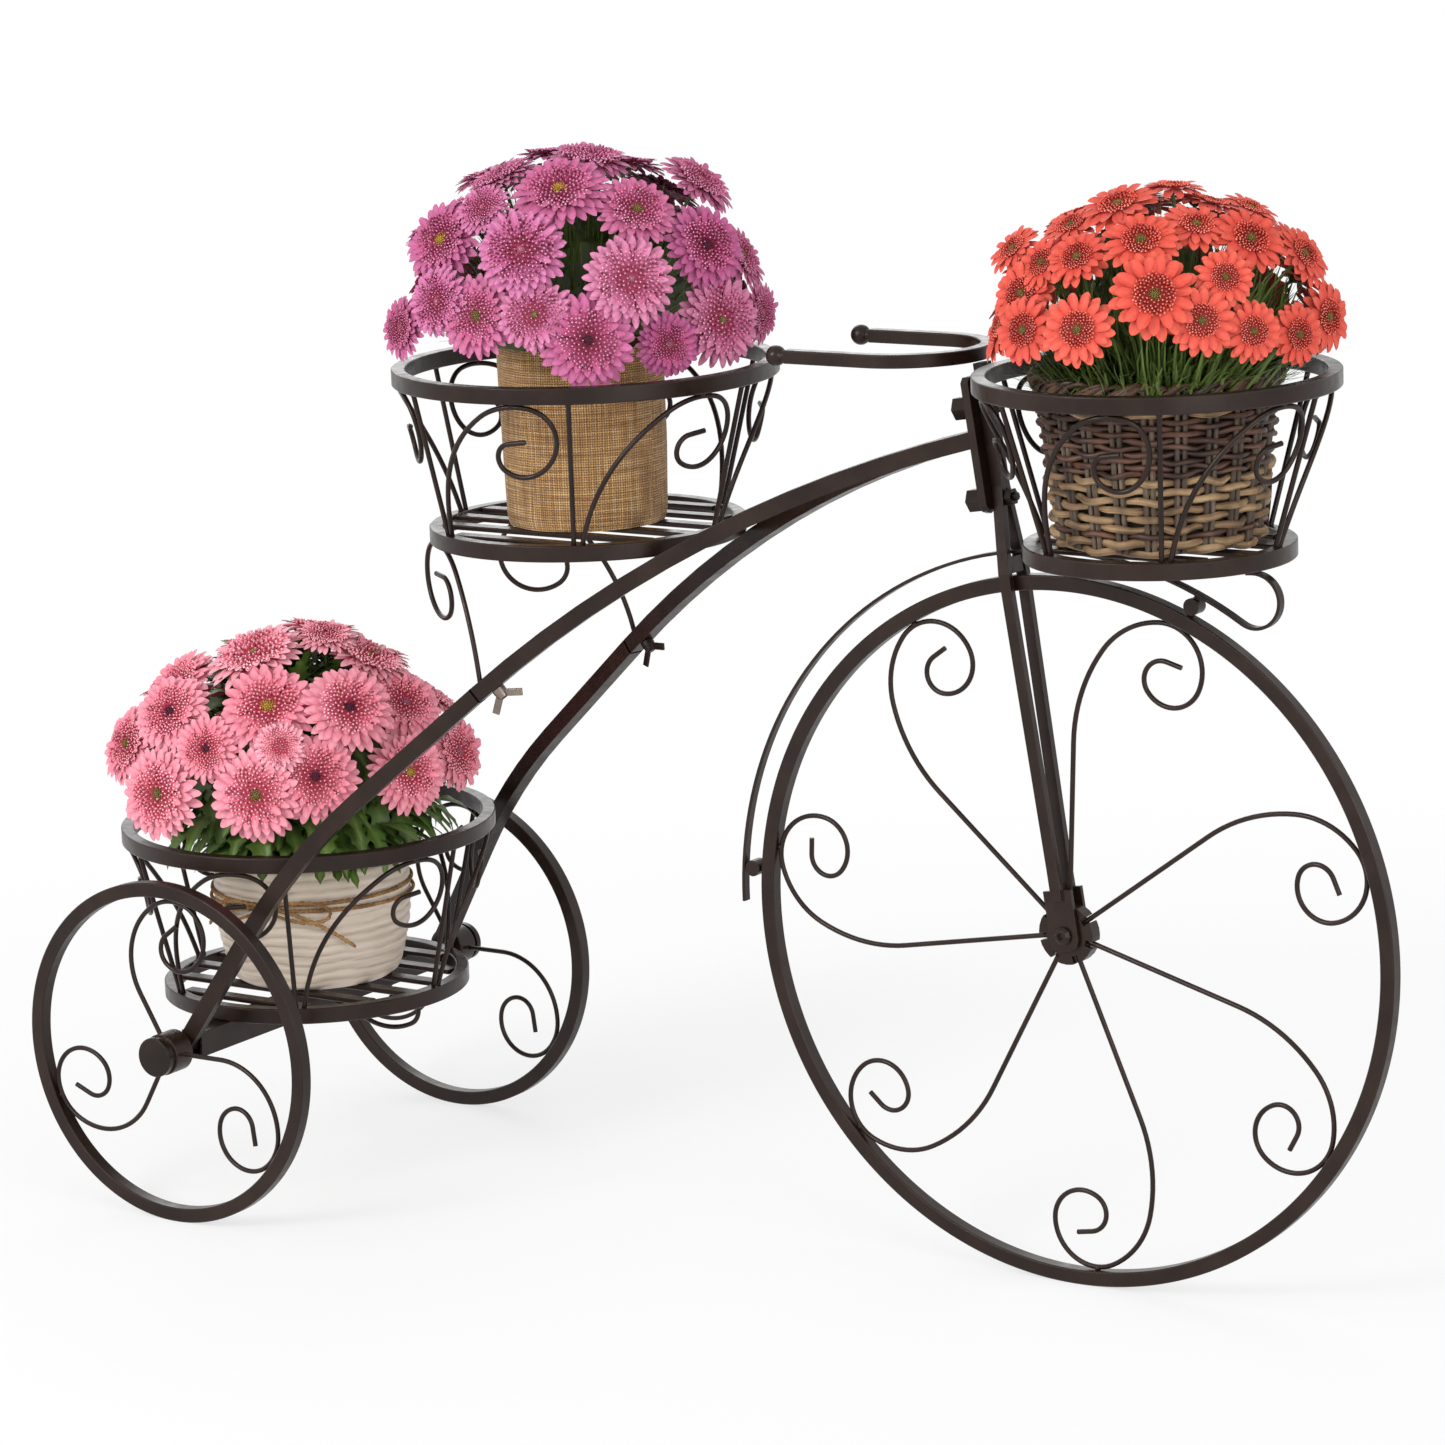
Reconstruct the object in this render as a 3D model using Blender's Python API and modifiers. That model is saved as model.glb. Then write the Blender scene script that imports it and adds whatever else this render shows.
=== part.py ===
"""A bicycle planter: an iron tricycle stand with three round baskets, each holding a potted plant.

+X points to the large front wheel and +Z up. The origin lies on the ground under the middle of
the length. All sizes are in metres and all angles in degrees.
"""
import bisect
import math

import bmesh
import bpy
from mathutils import Matrix, Vector

# Clearances and fineness
SEAT_GAP = 0.0003
WELD_DEPTH = 0.001
OVERRUN = 0.003
WELD_DISTANCE = 0.00001
ARC_SAG = 0.0009
FINE_SAG = 0.00015
SMOOTH_ANGLE = 40
RIM_STEPS = 52
SMALL_RIM_STEPS = 40
RING_STEPS = 36
DRUM_STEPS = 20
HUB_STEPS_PER_SPOKE = 4
BOLT_SIDES = 10
HEX_SIDES = 6
BALL_RINGS = 5
WIRE_RESOLUTION = 1

# Layout
WHEELBASE = 0.5706
FRONT_WHEEL_RADIUS = 0.215
REAR_WHEEL_RADIUS = 0.110
HALF_TRACK = 0.150
RIM_BAR = 0.009

# Front wheel
HUB_RADIUS = 0.0183
HUB_HALF_THICKNESS = 0.00435
HUB_SLOT_DEPTH = 0.005
HUB_SLOT_CLEARANCE = 0.0006
SPOKE_RADIUS = 0.00155
FRONT_SPOKES = 7
FRONT_SPOKE_START = 138.5
FRONT_SPOKE_BENDS = ((0.100, 35), (0.050, 50), (0.0270, 118), (0.0195, 120), (0.0120, 140))
FRONT_SPOKE_TAIL = 0.010
AXLE_RADIUS = 0.003
BORE_CLEARANCE = 0.0003
AXLE_HEAD_RADIUS = 0.0056
AXLE_HEAD_HEIGHT = 0.0032
AXLE_HEAD_DOME_SHARE = 0.45
AXLE_SOCKET_RADIUS = 0.0022
AXLE_SOCKET_DEPTH = 0.0016
AXLE_THREAD_END = 0.003
NUT_RADIUS = 0.0057
NUT_HEIGHT = 0.0048

# Rear wheels
REAR_HUB_RADIUS = 0.0165
REAR_HUB_HALF_THICKNESS = 0.008
REAR_HUB_BOSS_RADIUS = 0.0115
REAR_HUB_BOSS_HEIGHT = 0.0025
REAR_SPOKES = 3
REAR_SPOKE_START = 0
REAR_SPOKE_BENDS = ((0.0430, 90), (0.0285, 47), (0.0225, 147), (0.0155, 62), (0.0120, 97))
REAR_SPOKE_TAIL = 0.012
REAR_AXLE_RADIUS = 0.004
CAP_RADIUS = 0.0105
CAP_HEIGHT = 0.0045
CAP_SOCKET_DEPTH = 0.0028

# Fork, from the front hub up to the handlebar
FORK_RAKE = 8.36
BLADE_WIDTH = 0.0045
BLADE_DEPTH = 0.007
BLADE_JOIN_GAP = 0.00015
BLADE_JOIN_RISE = 0.268
BLADE_BULGE_RISE = 0.217
BLADE_BULGE_HALF = 0.010
BLADE_NARROW_RISE = 0.040
BLADE_ROOT_RISE = 0.021
DROPOUT_THICKNESS = 0.0025
DROPOUT_WIDTH = 0.019
DROPOUT_ABOVE = 0.027
DROPOUT_BELOW = 0.0095
DROPOUT_CORNER = 0.006
CROWN_HEIGHT = 0.0095
CROWN_DEPTH = 0.006

# Head plate and its bolts
HEAD_PLATE_WIDTH = 0.026
HEAD_PLATE_THICKNESS = 0.005
HEAD_PLATE_BOTTOM = 0.2555
HEAD_PLATE_LENGTH = 0.0785
HEAD_PLATE_CORNER = 0.003
HEAD_BOLT_RISES = (0.261, 0.3155)
HEAD_BOLT_RADIUS = 0.0024
HEAD_BOLT_COLLAR_RADIUS = 0.0085
HEAD_BOLT_COLLAR_HEIGHT = 0.003
HEAD_BOLT_HEX_RADIUS = 0.0074
HEAD_BOLT_HEX_HEIGHT = 0.0095
HEAD_NUT_RADIUS = 0.0052
HEAD_NUT_HEIGHT = 0.0042
HEAD_BOLT_END = 0.0025

# Handlebar
HANDLE_BAR = 0.008
HANDLE_UNDERSIDE = 0.5533
HANDLE_RADIUS = 0.0466
HANDLE_SETBACK = 0.0035
HANDLE_ARM = 0.055
BALL_RADIUS = 0.0062
BALL_NECK_RADIUS = 0.0034
BALL_NECK_LENGTH = 0.0032

# Fender strap over the front wheel
STRAP_RADIUS = 0.230
STRAP_THICKNESS = 0.002
STRAP_WIDTH = 0.006
STRAP_REAR_ANGLE = 181
STRAP_FRONT_ANGLE = 58.5
STRAP_CURL_BENDS = ((0.0160, 215),)
STRAP_CURL_TAIL = 0.004
STUD_RADIUS = 0.0050
STUD_NECK_RADIUS = 0.0022
STUD_LENGTH = 0.009
STUD_ANGLES = (175.4, 66.5)

# Side tubes: one below the seam and one above it on each side
TUBE = 0.010
TUBE_RISE_ANGLE = 57.5
TUBE_FOOT_OVERHANG = 0.007
TUBE_FOOT_STRAIGHT = 0.092
TUBE_LOWER_RADIUS = 0.400
TUBE_LOWER_SWEEP = 16.8
TUBE_LOWER_STRAIGHT = 0.105
TUBE_HEAD_SHIFT = 0.0015
TUBE_HEAD_SPACING = 0.0054
TUBE_FOOT_ROOM = 0.0075
SPIGOT_HALF = 0.0030
SPIGOT_CLEARANCE = 0.0003
SPIGOT_LENGTH = 0.050

# Rear axle beam
CROSSBAR = 0.016
CROSSBAR_WALL = 0.0015

# Basket parts that are alike on all three
RING_HEIGHT = 0.010
RING_WIDTH = 0.0085
WIRE_RADIUS = 0.0016
BASKET_WIRES = 6
SLAT_WIDTH = 0.010
SLAT_THICKNESS = 0.003
SLAT_PITCH = 0.029
SLAT_SINK = 0.0005
SCROLL_SHIFT = 0.005
SCROLL_HEADING = 76
SCROLL_BENDS = ((0.125, 44), (0.0447, 44), (0.0211, 114), (0.0242, 86), (0.0093, 142))
SCROLL_TAIL = 0.012
SCROLL_REFERENCE_RADIUS = 0.115

# Front basket
FRONT_BASKET_REACH = 0.0664
FRONT_BOTTOM_RADIUS = 0.079
FRONT_TOP_RADIUS = 0.106
FRONT_BASKET_HEIGHT = 0.108
FRONT_BOLT_RADIUS = 0.0014
FRONT_BOLT_GRIP = 0.004
FRONT_NUT_RADIUS = 0.0036
FRONT_NUT_HEIGHT = 0.003

# Upper basket
UPPER_BASKET_X = 0.2345
UPPER_TOP_SHIFT = 0.003
UPPER_BOTTOM_RADIUS = 0.0977
UPPER_TOP_RADIUS = 0.119
UPPER_BASKET_HEIGHT = 0.1085

# Lower basket
LOWER_BASKET_X = 0.002
LOWER_BOTTOM_RADIUS = 0.099
LOWER_TOP_RADIUS = 0.121
LOWER_BASKET_HEIGHT = 0.1135

# Scrolled legs under the upper basket
LEG_RADIUS = 0.0016
LEG_TURN = 34
LEG_FOOT_PAST_SEAM = 0.0065
LEG_HEADING = 102
LEG_BENDS = ((0.150, -25), (0.0400, -54), (0.0234, -59), (0.0240, -151), (0.0125, -148))
LEG_TAIL = 0.013

# Studs that hold the tube seams, with wing nuts below
SEAM_STUD_PAST_SEAM = 0.0135
SEAM_STUD_RADIUS = 0.0020
SEAM_STUD_END = 0.002
WING_HUB_RADIUS = 0.0042
WING_HUB_HEIGHT = 0.0052
WING_SPAN = 0.017
WING_HEIGHT = 0.0085
WING_THICKNESS = 0.0016
WING_ROOT_OVERLAP = 0.001

# Brace under the lower basket
BRACE_RADIUS = 0.0016
BRACE_RISE = 0.002
BRACE_HEADING = -20
BRACE_STRAIGHT = 0.036
BRACE_BENDS = ((0.0450, -45), (0.0110, -190))
BRACE_TAIL = 0.006

# Pots
BURLAP_RADIUS = 0.0515
BURLAP_FOOT_RADIUS = 0.0495
BURLAP_HEIGHT = 0.119
WICKER_RADIUS = 0.0735
WICKER_FOOT_RADIUS = 0.0615
WICKER_HEIGHT = 0.094
CERAMIC_RADIUS = 0.0625
CERAMIC_FOOT_RADIUS = 0.0550
CERAMIC_HEIGHT = 0.082
CERAMIC_RIB_DEPTH = 0.0007
CERAMIC_RIBS = 4
POT_WALL = 0.004
POT_SHIFT = 0.002
POT_STEPS = 24
SOIL_DROP = 0.012

# Plants
UPPER_BLOOM_RADIUS = 0.116
UPPER_BLOOM_TOP = 0.676
FRONT_BLOOM_RADIUS = 0.099
FRONT_BLOOM_TOP = 0.662
LOWER_BLOOM_RADIUS = 0.108
LOWER_BLOOM_TOP = 0.362
BLOOM_UNDERSIDE_SHARE = 0.30
BLOOM_UNDERSIDE_ANGLE = 40
BLOOM_STEPS = 12
BLOOM_RINGS = 5
BLOOM_LIFT = 0.004
NECK_SHARE = 0.72

# Twine bow on the ceramic pot
TWINE_RADIUS = 0.0012
TWINE_RISE = 0.047
TWINE_TURN_STEPS = 16
KNOT_SHARE = 2.8
BOW_LOOP_LENGTH = 0.026
BOW_LOOP_HALF = 0.008
BOW_TILT = 28
BOW_LOOP_STEPS = 9

IRON = ((0.043, 0.033, 0.029), 0.45, 0.55)
HARDWARE = ((0.036, 0.028, 0.025), 0.40, 0.60)
BARE_METAL = ((0.30, 0.27, 0.23), 0.40, 0.90)
BURLAP = ((0.42, 0.26, 0.12), 0.95, 0.0)
WICKER = ((0.28, 0.17, 0.08), 0.80, 0.0)
CERAMIC = ((0.72, 0.70, 0.66), 0.35, 0.0)
TWINE = ((0.40, 0.25, 0.12), 0.95, 0.0)
PINK_BLOOM = ((0.72, 0.16, 0.30), 0.80, 0.0)
CORAL_BLOOM = ((0.85, 0.24, 0.20), 0.80, 0.0)
ROSE_BLOOM = ((0.80, 0.30, 0.38), 0.80, 0.0)

# Places that follow from the sizes above
REAR_AXLE_X = -(WHEELBASE + FRONT_WHEEL_RADIUS + LOWER_BASKET_X - LOWER_TOP_RADIUS) / 2
FRONT_AXLE_X = REAR_AXLE_X + WHEELBASE
HALF_TUBE = TUBE / 2
BLADE_ROOT_HALF = HUB_HALF_THICKNESS + SEAT_GAP + BLADE_WIDTH / 2
UPRIGHT = Matrix.Rotation(math.radians(90), 4, "X")


def clear_scene():
    """Removes everything that the scene holds."""
    for obj in list(bpy.data.objects):
        bpy.data.objects.remove(obj)


def collection(name):
    """A new collection in the scene."""
    made = bpy.data.collections.new(name)
    bpy.context.scene.collection.children.link(made)
    return made


def at(x, y, z):
    """A frame moved to a point."""
    return Matrix.Translation((x, y, z))


def turned_by(degrees, axis):
    """A frame turned about one of the world's axes."""
    return Matrix.Rotation(math.radians(degrees), 4, axis)


def material(name, look):
    """A plain material from a colour, a roughness and a metallic value."""
    colour, roughness, metallic = look
    made = bpy.data.materials.new(name)
    made.use_nodes = True
    shader = made.node_tree.nodes["Principled BSDF"]
    shader.inputs["Base Color"].default_value = (*colour, 1)
    shader.inputs["Roughness"].default_value = roughness
    shader.inputs["Metallic"].default_value = metallic
    made.diffuse_color = (*colour, 1)
    return made


def welded(form):
    """The mesh of a form whose loose seams are joined."""
    bmesh.ops.remove_doubles(form, verts=form.verts, dist=WELD_DISTANCE)
    mesh = bpy.data.meshes.new("piece")
    form.to_mesh(mesh)
    form.free()
    return mesh


def evaluated(data, frame, modifier=None):
    """The mesh that a curve, or a profile with a screw, makes in this frame."""
    helper = bpy.data.objects.new("helper", data)
    bpy.context.scene.collection.objects.link(helper)
    if modifier:
        modifier(helper)
    graph = bpy.context.evaluated_depsgraph_get()
    graph.update()
    mesh = bpy.data.meshes.new_from_object(helper.evaluated_get(graph))
    bpy.data.objects.remove(helper)
    form = bmesh.new()
    form.from_mesh(mesh)
    form.transform(frame)
    bpy.data.meshes.remove(mesh)
    return welded(form)


def block(size, frame):
    """A box of this size, centred on a frame."""
    form = bmesh.new()
    bmesh.ops.create_cube(form, size=1, matrix=frame @ Matrix.Diagonal((*size, 1)))
    return welded(form)


def cylinder(radius, height, frame, sides):
    """A cylinder that stands on a frame and rises along its Z."""
    form = bmesh.new()
    place = frame @ at(0, 0, height / 2)
    bmesh.ops.create_cone(form, cap_ends=True, segments=sides, radius1=radius, radius2=radius,
                          depth=height, matrix=place)
    return welded(form)


def lathe(profile, frame, steps):
    """A turned piece: a profile of radius and height that runs down its outer side.

    A profile that starts and ends off the axis is closed into a ring.
    """
    mesh = bpy.data.meshes.new("profile")
    count = len(profile)
    edges = [(index, index + 1) for index in range(count - 1)]
    if profile[0][0] > 0 and profile[-1][0] > 0:
        edges.append((count - 1, 0))
    mesh.from_pydata([(radius, 0, height) for radius, height in profile], edges, [])

    def add_screw(helper):
        screw = helper.modifiers.new("turn", "SCREW")
        screw.steps = screw.render_steps = steps
        screw.use_merge_vertices = True
        screw.merge_threshold = WELD_DISTANCE

    return evaluated(mesh, frame, add_screw)


def plate(outline, thickness, frame):
    """A flat piece: an outline in a frame's XY plane, with half its thickness on each side."""
    curve = bpy.data.curves.new("outline", "CURVE")
    curve.dimensions = "2D"
    curve.fill_mode = "BOTH"
    curve.extrude = thickness / 2
    spline = curve.splines.new("POLY")
    spline.points.add(len(outline) - 1)
    for point, place in zip(spline.points, outline):
        point.co = (place[0], place[1], 0, 1)
    spline.use_cyclic_u = True
    return evaluated(curve, frame)


def wire(points, radius):
    """A round bar with flat ends along points in space."""
    curve = bpy.data.curves.new("wire", "CURVE")
    curve.dimensions = "3D"
    curve.bevel_depth = radius
    curve.bevel_resolution = WIRE_RESOLUTION
    curve.use_fill_caps = True
    spline = curve.splines.new("POLY")
    spline.points.add(len(points) - 1)
    for point, place in zip(spline.points, points):
        point.co = (*place, 1)
    return evaluated(curve, Matrix())


def ring_profile(outer, width, top, height):
    """The square section of a ring, down its outer side first."""
    inner = outer - width
    bottom = top - height
    return [(outer, top), (outer, bottom), (inner, bottom), (inner, top)]


def arc_steps(radius, sweep, sag):
    """How many chords keep an arc within this sag."""
    widest = 2 * math.acos(1 - min(sag / radius, 1))
    return max(1, math.ceil(math.radians(sweep) / widest))


def bent_path(start, heading, straight, bends, tail, sag=ARC_SAG):
    """Points along a bar that runs straight, bends to the right and ends straight.

    Each bend is a radius and a sweep. A sweep below zero bends to the left.
    """
    place = Vector(start)
    direction = math.radians(heading)
    points = [place.copy()]
    if straight > 0:
        place += straight * Vector((math.cos(direction), math.sin(direction)))
        points.append(place.copy())
    for radius, sweep in bends:
        steps = arc_steps(radius, abs(sweep), sag)
        turn = math.radians(sweep) / steps
        chord = 2 * radius * math.sin(abs(turn) / 2)
        for _ in range(steps):
            direction -= turn / 2
            place += chord * Vector((math.cos(direction), math.sin(direction)))
            direction -= turn / 2
            points.append(place.copy())
    if tail > 0:
        place += tail * Vector((math.cos(direction), math.sin(direction)))
        points.append(place.copy())
    return points


def offset_band(points, half):
    """The closed outline of a bar of this half width along points in a plane."""
    left, right = [], []
    for index, point in enumerate(points):
        before = points[max(index - 1, 0)]
        after = points[min(index + 1, len(points) - 1)]
        along_in = (point - before).normalized() if index else (after - point).normalized()
        along_out = (after - point).normalized() if index < len(points) - 1 else along_in
        along = (along_in + along_out).normalized()
        side = Vector((-along.y, along.x)) * half / along.dot(along_out)
        left.append(point + side)
        right.append(point - side)
    return left + right[::-1]


def node(name, pieces, look, origin=None, parent=None):
    """One named object that holds these pieces, with its own material."""
    form = bmesh.new()
    for mesh in pieces:
        form.from_mesh(mesh)
        bpy.data.meshes.remove(mesh)
    place = origin or Vector((0, 0, 0))
    form.transform(Matrix.Translation(-place))
    mesh = bpy.data.meshes.new(name)
    form.to_mesh(mesh)
    form.free()
    mesh.shade_smooth()
    mesh.set_sharp_from_angle(angle=math.radians(SMOOTH_ANGLE))
    mesh.materials.append(material(name, look))
    obj = bpy.data.objects.new(name, mesh)
    PARTS.objects.link(obj)
    if parent:
        obj.parent = parent
    else:
        obj.location = place
    return obj


def cut(target, name, pieces):
    """Takes these pieces away from a named object."""
    form = bmesh.new()
    for mesh in pieces:
        form.from_mesh(mesh)
        bpy.data.meshes.remove(mesh)
    mesh = bpy.data.meshes.new(name)
    form.to_mesh(mesh)
    form.free()
    cutter = bpy.data.objects.new(name, mesh)
    CUTTERS.objects.link(cutter)
    cutter.hide_render = True
    cutter.display_type = "WIRE"
    boolean = target.modifiers.new(name, "BOOLEAN")
    boolean.operation = "DIFFERENCE"
    boolean.solver = "EXACT"
    boolean.object = cutter
    if target.parent:
        cutter.parent = target.parent


def axis_empty(name, place):
    """An empty on a joint's axis, which carries what turns there."""
    empty = bpy.data.objects.new(name, None)
    empty.location = place
    PARTS.objects.link(empty)
    return empty


def scroll_reaching(limit, measure, start, heading, bends, tail):
    """A bent path whose first straight is set so that its farthest point just meets a limit."""
    low, high = 0, 2 * limit
    while high - low > WELD_DISTANCE:
        straight = (low + high) / 2
        reach = max(measure(point) for point in bent_path(start, heading, straight, bends, tail))
        if reach > limit:
            high = straight
        else:
            low = straight
    return bent_path(start, heading, low, bends, tail)


def scroll_spokes(root, rim_inner, count, first_angle, bends, tail, frame):
    """The spokes of one wheel: each leaves a slot in the hub at the root and curls against the rim."""
    limit = rim_inner - SPOKE_RADIUS - SEAT_GAP
    path = scroll_reaching(limit, lambda point: point.length, (0, root), 90, bends, tail)
    spokes = []
    for index in range(count):
        turn = turned_by(first_angle - 90 - index * 360 / count, "Z")
        points = [frame @ turn @ Vector((*point, 0)) for point in path]
        spokes.append(wire(points, SPOKE_RADIUS))
    return spokes


def hub_slots(hub_radius, half_thickness, count, first_angle, frame):
    """Cutters for the slots round a hub, one for each spoke."""
    width = 2 * (SPOKE_RADIUS + HUB_SLOT_CLEARANCE)
    length = HUB_SLOT_DEPTH + OVERRUN
    middle = hub_radius - HUB_SLOT_DEPTH + length / 2
    size = (length, width, 2 * (half_thickness + OVERRUN))
    slots = []
    for index in range(count):
        turn = turned_by(first_angle - index * 360 / count, "Z")
        slots.append(block(size, frame @ turn @ at(middle, 0, 0)))
    return slots


def rim(radius, frame, steps):
    """A wheel's rim: a square bar rolled into a hoop."""
    return lathe(ring_profile(radius, RIM_BAR, RIM_BAR / 2, RIM_BAR), frame, steps)


def front_wheel():
    """The front rim, its scrolled spokes, the slotted hub and the axle bolt with its nut."""
    frame = at(FRONT_AXLE_X, 0, FRONT_WHEEL_RADIUS) @ UPRIGHT
    node("front_rim", [rim(FRONT_WHEEL_RADIUS, frame, RIM_STEPS)], IRON)
    root = HUB_RADIUS - HUB_SLOT_DEPTH + SEAT_GAP
    spokes = scroll_spokes(root, FRONT_WHEEL_RADIUS - RIM_BAR, FRONT_SPOKES, FRONT_SPOKE_START,
                           FRONT_SPOKE_BENDS, FRONT_SPOKE_TAIL, frame)
    for index, spoke in enumerate(spokes):
        node(f"front_spoke_{index + 1}", [spoke], IRON)
    bore = AXLE_RADIUS + BORE_CLEARANCE
    hub_profile = ring_profile(HUB_RADIUS, HUB_RADIUS - bore, HUB_HALF_THICKNESS, 2 * HUB_HALF_THICKNESS)
    hub = node("front_hub", [lathe(hub_profile, frame, FRONT_SPOKES * HUB_STEPS_PER_SPOKE)], IRON)
    cut(hub, "front_hub_slots", hub_slots(HUB_RADIUS, HUB_HALF_THICKNESS, FRONT_SPOKES, FRONT_SPOKE_START,
                                          frame))
    seat = HUB_HALF_THICKNESS + 2 * SEAT_GAP + DROPOUT_THICKNESS
    shank = -(seat + NUT_HEIGHT + AXLE_THREAD_END)
    crown = AXLE_HEAD_RADIUS * AXLE_HEAD_DOME_SHARE
    bolt_profile = [
        (0, seat + AXLE_HEAD_HEIGHT - AXLE_SOCKET_DEPTH),
        (AXLE_SOCKET_RADIUS, seat + AXLE_HEAD_HEIGHT - AXLE_SOCKET_DEPTH),
        (AXLE_SOCKET_RADIUS, seat + AXLE_HEAD_HEIGHT),
        (crown + AXLE_SOCKET_RADIUS / 2, seat + AXLE_HEAD_HEIGHT),
        (AXLE_HEAD_RADIUS, seat + AXLE_HEAD_HEIGHT * AXLE_HEAD_DOME_SHARE),
        (AXLE_HEAD_RADIUS, seat),
        (AXLE_RADIUS, seat),
        (AXLE_RADIUS, shank),
        (0, shank),
    ]
    node("front_axle_bolt", [lathe(bolt_profile, frame, BOLT_SIDES)], HARDWARE)
    hex_nut("front_axle_nut", NUT_RADIUS, bore, NUT_HEIGHT, frame @ at(0, 0, -seat - NUT_HEIGHT))


def hex_nut(name, radius, bore, height, frame):
    """A hexagonal nut with a round bore, standing on a frame."""
    nut = node(name, [cylinder(radius, height, frame, HEX_SIDES)], HARDWARE)
    through = frame @ at(0, 0, -OVERRUN)
    cut(nut, name + "_bore", [cylinder(bore, height + 2 * OVERRUN, through, BOLT_SIDES)])


def fork_frame():
    """The fork's own frame: X forward across the fork, Y across the wheel and Z up along it."""
    return at(FRONT_AXLE_X, 0, FRONT_WHEEL_RADIUS) @ turned_by(-FORK_RAKE, "Y")


def column_top():
    """How far up the fork the column ends, just under the handlebar."""
    rake = math.radians(FORK_RAKE)
    rise = HANDLE_UNDERSIDE - SEAT_GAP - FRONT_WHEEL_RADIUS - BLADE_DEPTH / 2 * math.sin(rake)
    return rise / math.cos(rake)


def blade_path():
    """The middle line of a fork blade: a place across the fork and a rise along it."""
    join_half = BLADE_WIDTH / 2 + BLADE_JOIN_GAP
    return [
        Vector((join_half, column_top())),
        Vector((join_half, BLADE_JOIN_RISE)),
        Vector((BLADE_BULGE_HALF, BLADE_BULGE_RISE)),
        Vector((BLADE_ROOT_HALF, BLADE_NARROW_RISE)),
        Vector((BLADE_ROOT_HALF, BLADE_ROOT_RISE)),
    ]


def dropout_outline():
    """The flattened end of a blade, with its two lower corners rounded."""
    half = DROPOUT_WIDTH / 2
    points = [Vector((half, DROPOUT_ABOVE)), Vector((-half, DROPOUT_ABOVE))]
    for side, start in ((-1, 180), (1, 270)):
        centre = Vector((side * (half - DROPOUT_CORNER), DROPOUT_CORNER - DROPOUT_BELOW))
        steps = arc_steps(DROPOUT_CORNER, 90, ARC_SAG)
        for step in range(steps + 1):
            angle = math.radians(start + 90 * step / steps)
            points.append(centre + DROPOUT_CORNER * Vector((math.cos(angle), math.sin(angle))))
    return points


def head_bolt_holes():
    """Cutters for the two head bolts, through the plate and both blades."""
    holes = []
    length = HEAD_PLATE_THICKNESS + BLADE_DEPTH + 2 * OVERRUN
    start = -BLADE_DEPTH / 2 - SEAT_GAP - HEAD_PLATE_THICKNESS - OVERRUN
    for rise in HEAD_BOLT_RISES:
        frame = fork_frame() @ at(start, 0, rise) @ turned_by(90, "Y")
        holes.append(cylinder(HEAD_BOLT_RADIUS + BORE_CLEARANCE, length, frame, BOLT_SIDES))
    return holes


def fork():
    """The two fork blades with flattened ends, and the crown plate that joins them."""
    frame = fork_frame()
    bore = AXLE_RADIUS + BORE_CLEARANCE
    for name, side in (("fork_blade_left", 1), ("fork_blade_right", -1)):
        path = [Vector((side * point.x, point.y)) for point in blade_path()]
        blade = node(name, [plate(offset_band(path, BLADE_WIDTH / 2), BLADE_DEPTH,
                                  frame @ turned_by(90, "Z") @ UPRIGHT)], IRON)
        middle = side * (HUB_HALF_THICKNESS + SEAT_GAP + DROPOUT_THICKNESS / 2)
        end = plate(dropout_outline(), DROPOUT_THICKNESS, frame @ at(0, middle, 0) @ UPRIGHT)
        join(blade, name + "_end", [end])
        hole = cylinder(bore, 2 * (HUB_HALF_THICKNESS + BLADE_WIDTH + OVERRUN),
                        frame @ at(0, HUB_HALF_THICKNESS + BLADE_WIDTH + OVERRUN, 0) @ UPRIGHT, BOLT_SIDES)
        cut(blade, name + "_bore", [hole])
        cut(blade, name + "_head_holes", head_bolt_holes())
    inner = blade_inner_half(crown_middle())
    crown = block((CROWN_DEPTH, 2 * (inner - SEAT_GAP), CROWN_HEIGHT), frame @ at(0, 0, crown_middle()))
    node("fork_crown", [crown], IRON)


def crown_middle():
    """How far up the fork the crown plate sits, midway between the rim and the fender strap."""
    return (FRONT_WHEEL_RADIUS + STRAP_RADIUS - STRAP_THICKNESS) / 2


def blade_inner_half(rise):
    """Half the least space between the blades within the crown's height about this rise."""
    path = blade_path()
    least = path[2].x
    for edge in (rise - CROWN_HEIGHT / 2, rise + CROWN_HEIGHT / 2):
        for upper, lower in zip(path, path[1:]):
            if lower.y <= edge <= upper.y:
                share = (edge - lower.y) / (upper.y - lower.y)
                least = min(least, lower.x + share * (upper.x - lower.x))
    slope = (path[2].x - path[1].x) / (path[1].y - path[2].y)
    return least - BLADE_WIDTH / 2 * math.sqrt(1 + slope * slope)


def join(target, name, pieces):
    """Adds these pieces to a named object as one body with it."""
    cut(target, name, pieces)
    target.modifiers[name].operation = "UNION"


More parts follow.
